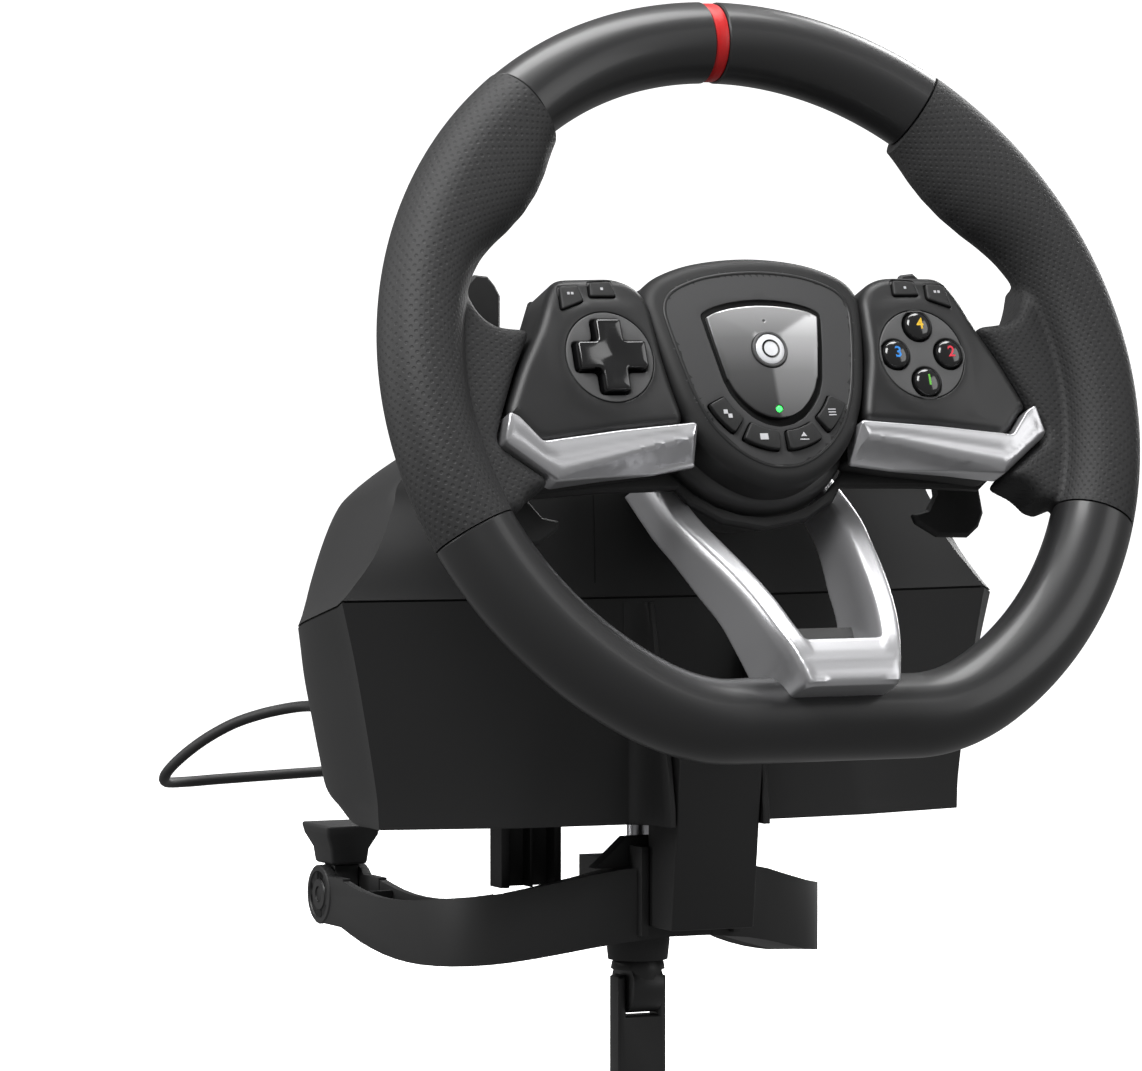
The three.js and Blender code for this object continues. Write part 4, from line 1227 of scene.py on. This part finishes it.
# %% Lead pieces
def swept(name, path, radius, sides, mat, body, cad, place=IN_ROW):
    """A round tube along a line in space, carried along it without twist."""
    p = np.array(path, float)
    d = np.gradient(p, axis=0)
    d /= np.linalg.norm(d, axis=1, keepdims=True)
    u = np.cross(d[0], (0, 0, 1.0))
    loops = []
    for q, t in zip(p, d):
        u = u - t * np.dot(u, t)
        u /= np.linalg.norm(u)
        w = np.cross(t, u)
        loops.append(
            [
                q + radius * (cos(2 * pi * k / sides) * u + sin(2 * pi * k / sides) * w)
                for k in range(sides)
            ]
        )
    return piece(name, *rings(loops), mat, body, cad, place, sharp=60, weld=0)


lead = swept("lead", lead_path * 1000, CORD_R * 1000, 12, "dark", "base", ["cord", "cord_coil"])
relief_rings = [(2.3, 0), (4.8, 0), (4.8, 9)]
for k in range(5):
    z = 9.6 + k * 2.8
    r = 4.5 - 0.32 * k
    relief_rings += [(r, z), (r, z + 1.6), (r - 0.8, z + 1.8), (r - 0.8, z + 2.6)]
relief_rings += [(3, 23.6), (2.2, 24)]
back = Matrix.Translation((-78, 35, 33)) @ Matrix.Rotation(-pi / 2, 4, "X")
piece("strain_relief_boot", *lathe(relief_rings, 40), "dark", "base", "strain_relief", back, 40)


def tie_point(a, grow, dy):
    """A point of the tie, which runs round the wound lead as a rounded box."""
    x = (12.2 + grow) * np.sign(cos(a)) * abs(cos(a)) ** 0.6
    z = (8.3 + grow * 0.5) * np.sign(sin(a)) * abs(sin(a)) ** 0.6
    return COIL[0] + 23.2 + x, COIL[1] + dy, 8.6 + z


TIE_SECTION = ((0, -3), (0.9, -3), (0.9, 3), (0, 3))
tie = [[tie_point(2 * pi * k / 64, *corner) for corner in TIE_SECTION] for k in range(64)]
tie.append(tie[0])
piece("lead_tie", *rings(tie, close=False), "dark", "base", "cord_tie", IN_ROW, 40)
refined("usb_plug", "dark", 0.9, 3)
refined("usb_contact_shell", "steel", 0.25)
print("lead made")

# %% [markdown]
# ## Studio
# A plain white sweep that glows a little, so the ground stays white while the lamps stay low: one
# soft lamp high on the left, a broad one from the front right and two from behind draw thin bright
# edges along the dark plastics. The sweep takes no part in reflections, so the silver stays grey, and
# the world is white only to the eye, so that the ground looks the same from every side.

# %% Studio
pale = bpy.data.materials.new("studio_pale")
pale.use_nodes = True
shade = pale.node_tree.nodes["Principled BSDF"]
shade.inputs["Base Color"].default_value = (0.9, 0.9, 0.9, 1)
shade.inputs["Roughness"].default_value = 0.95
shade.inputs["Specular IOR Level"].default_value = 0
shade.inputs["Emission Color"].default_value = (1, 1, 1, 1)
shade.inputs["Emission Strength"].default_value = 1.0
prof = [(-18, -0.16), (7, -0.16)]
prof += [(7 + 3 * sin(pi / 2 * k / 12), 2.84 - 3 * cos(pi / 2 * k / 12)) for k in range(1, 13)] + [(10, 18)]
turn = Matrix.Rotation(-AZIMUTH, 4, "Z")
verts = [turn @ Vector((x, y, z)) for x in (-18, 18) for y, z in prof]
n = len(prof)
mesh = bpy.data.meshes.new("sweep")
mesh.from_pydata([tuple(v) for v in verts], [], [(i, i + 1, n + i + 1, n + i) for i in range(n - 1)])
mesh.shade_smooth()
mesh.materials.append(pale)
sweep = bpy.data.objects.new("studio_sweep", mesh)
scene.collection.objects.link(sweep)
sweep.visible_diffuse = False
sweep.visible_glossy = False
world = bpy.data.worlds.new("studio")
scene.world = world
world.use_nodes = True
world.node_tree.nodes["Background"].inputs["Color"].default_value = (1, 1, 1, 1)
glow = world.node_tree.nodes["Background"].inputs["Strength"]
rays = world.node_tree.nodes.new("ShaderNodeLightPath")
seen = world.node_tree.nodes.new("ShaderNodeMapRange")
seen.inputs["To Min"].default_value = 0.28
seen.inputs["To Max"].default_value = 1.0
world.node_tree.links.new(rays.outputs["Is Camera Ray"], seen.inputs["Value"])
world.node_tree.links.new(seen.outputs["Result"], glow)
scene.view_settings.view_transform = "Standard"


def lamp(name, direction, distance, size, power):
    """A soft lamp in the given direction, turned to the middle of the wheel."""
    data = bpy.data.lights.new(name, "AREA")
    data.shape, data.size, data.size_y, data.energy = "RECTANGLE", size[0], size[1], power
    obj = bpy.data.objects.new(name, data)
    scene.collection.objects.link(obj)
    to = Vector(direction).normalized()
    obj.location = Vector((0, -0.1, 0.12)) + to * distance
    obj.rotation_euler = to.to_track_quat("Z", "Y").to_euler()


lamp("key", (-0.8, -0.55, 1.1), 1.6, (0.8, 0.8), 26)
lamp("fill", (1.0, -0.9, 0.5), 2.0, (0.9, 1.4), 9)
lamp("top", (0.1, 0.15, 1.0), 1.5, (1.3, 0.6), 24)
lamp("rim_right", (0.95, 0.75, 0.5), 1.8, (0.4, 1.4), 20)
lamp("rim_left", (-1.0, 0.5, 0.35), 1.8, (0.4, 1.4), 14)
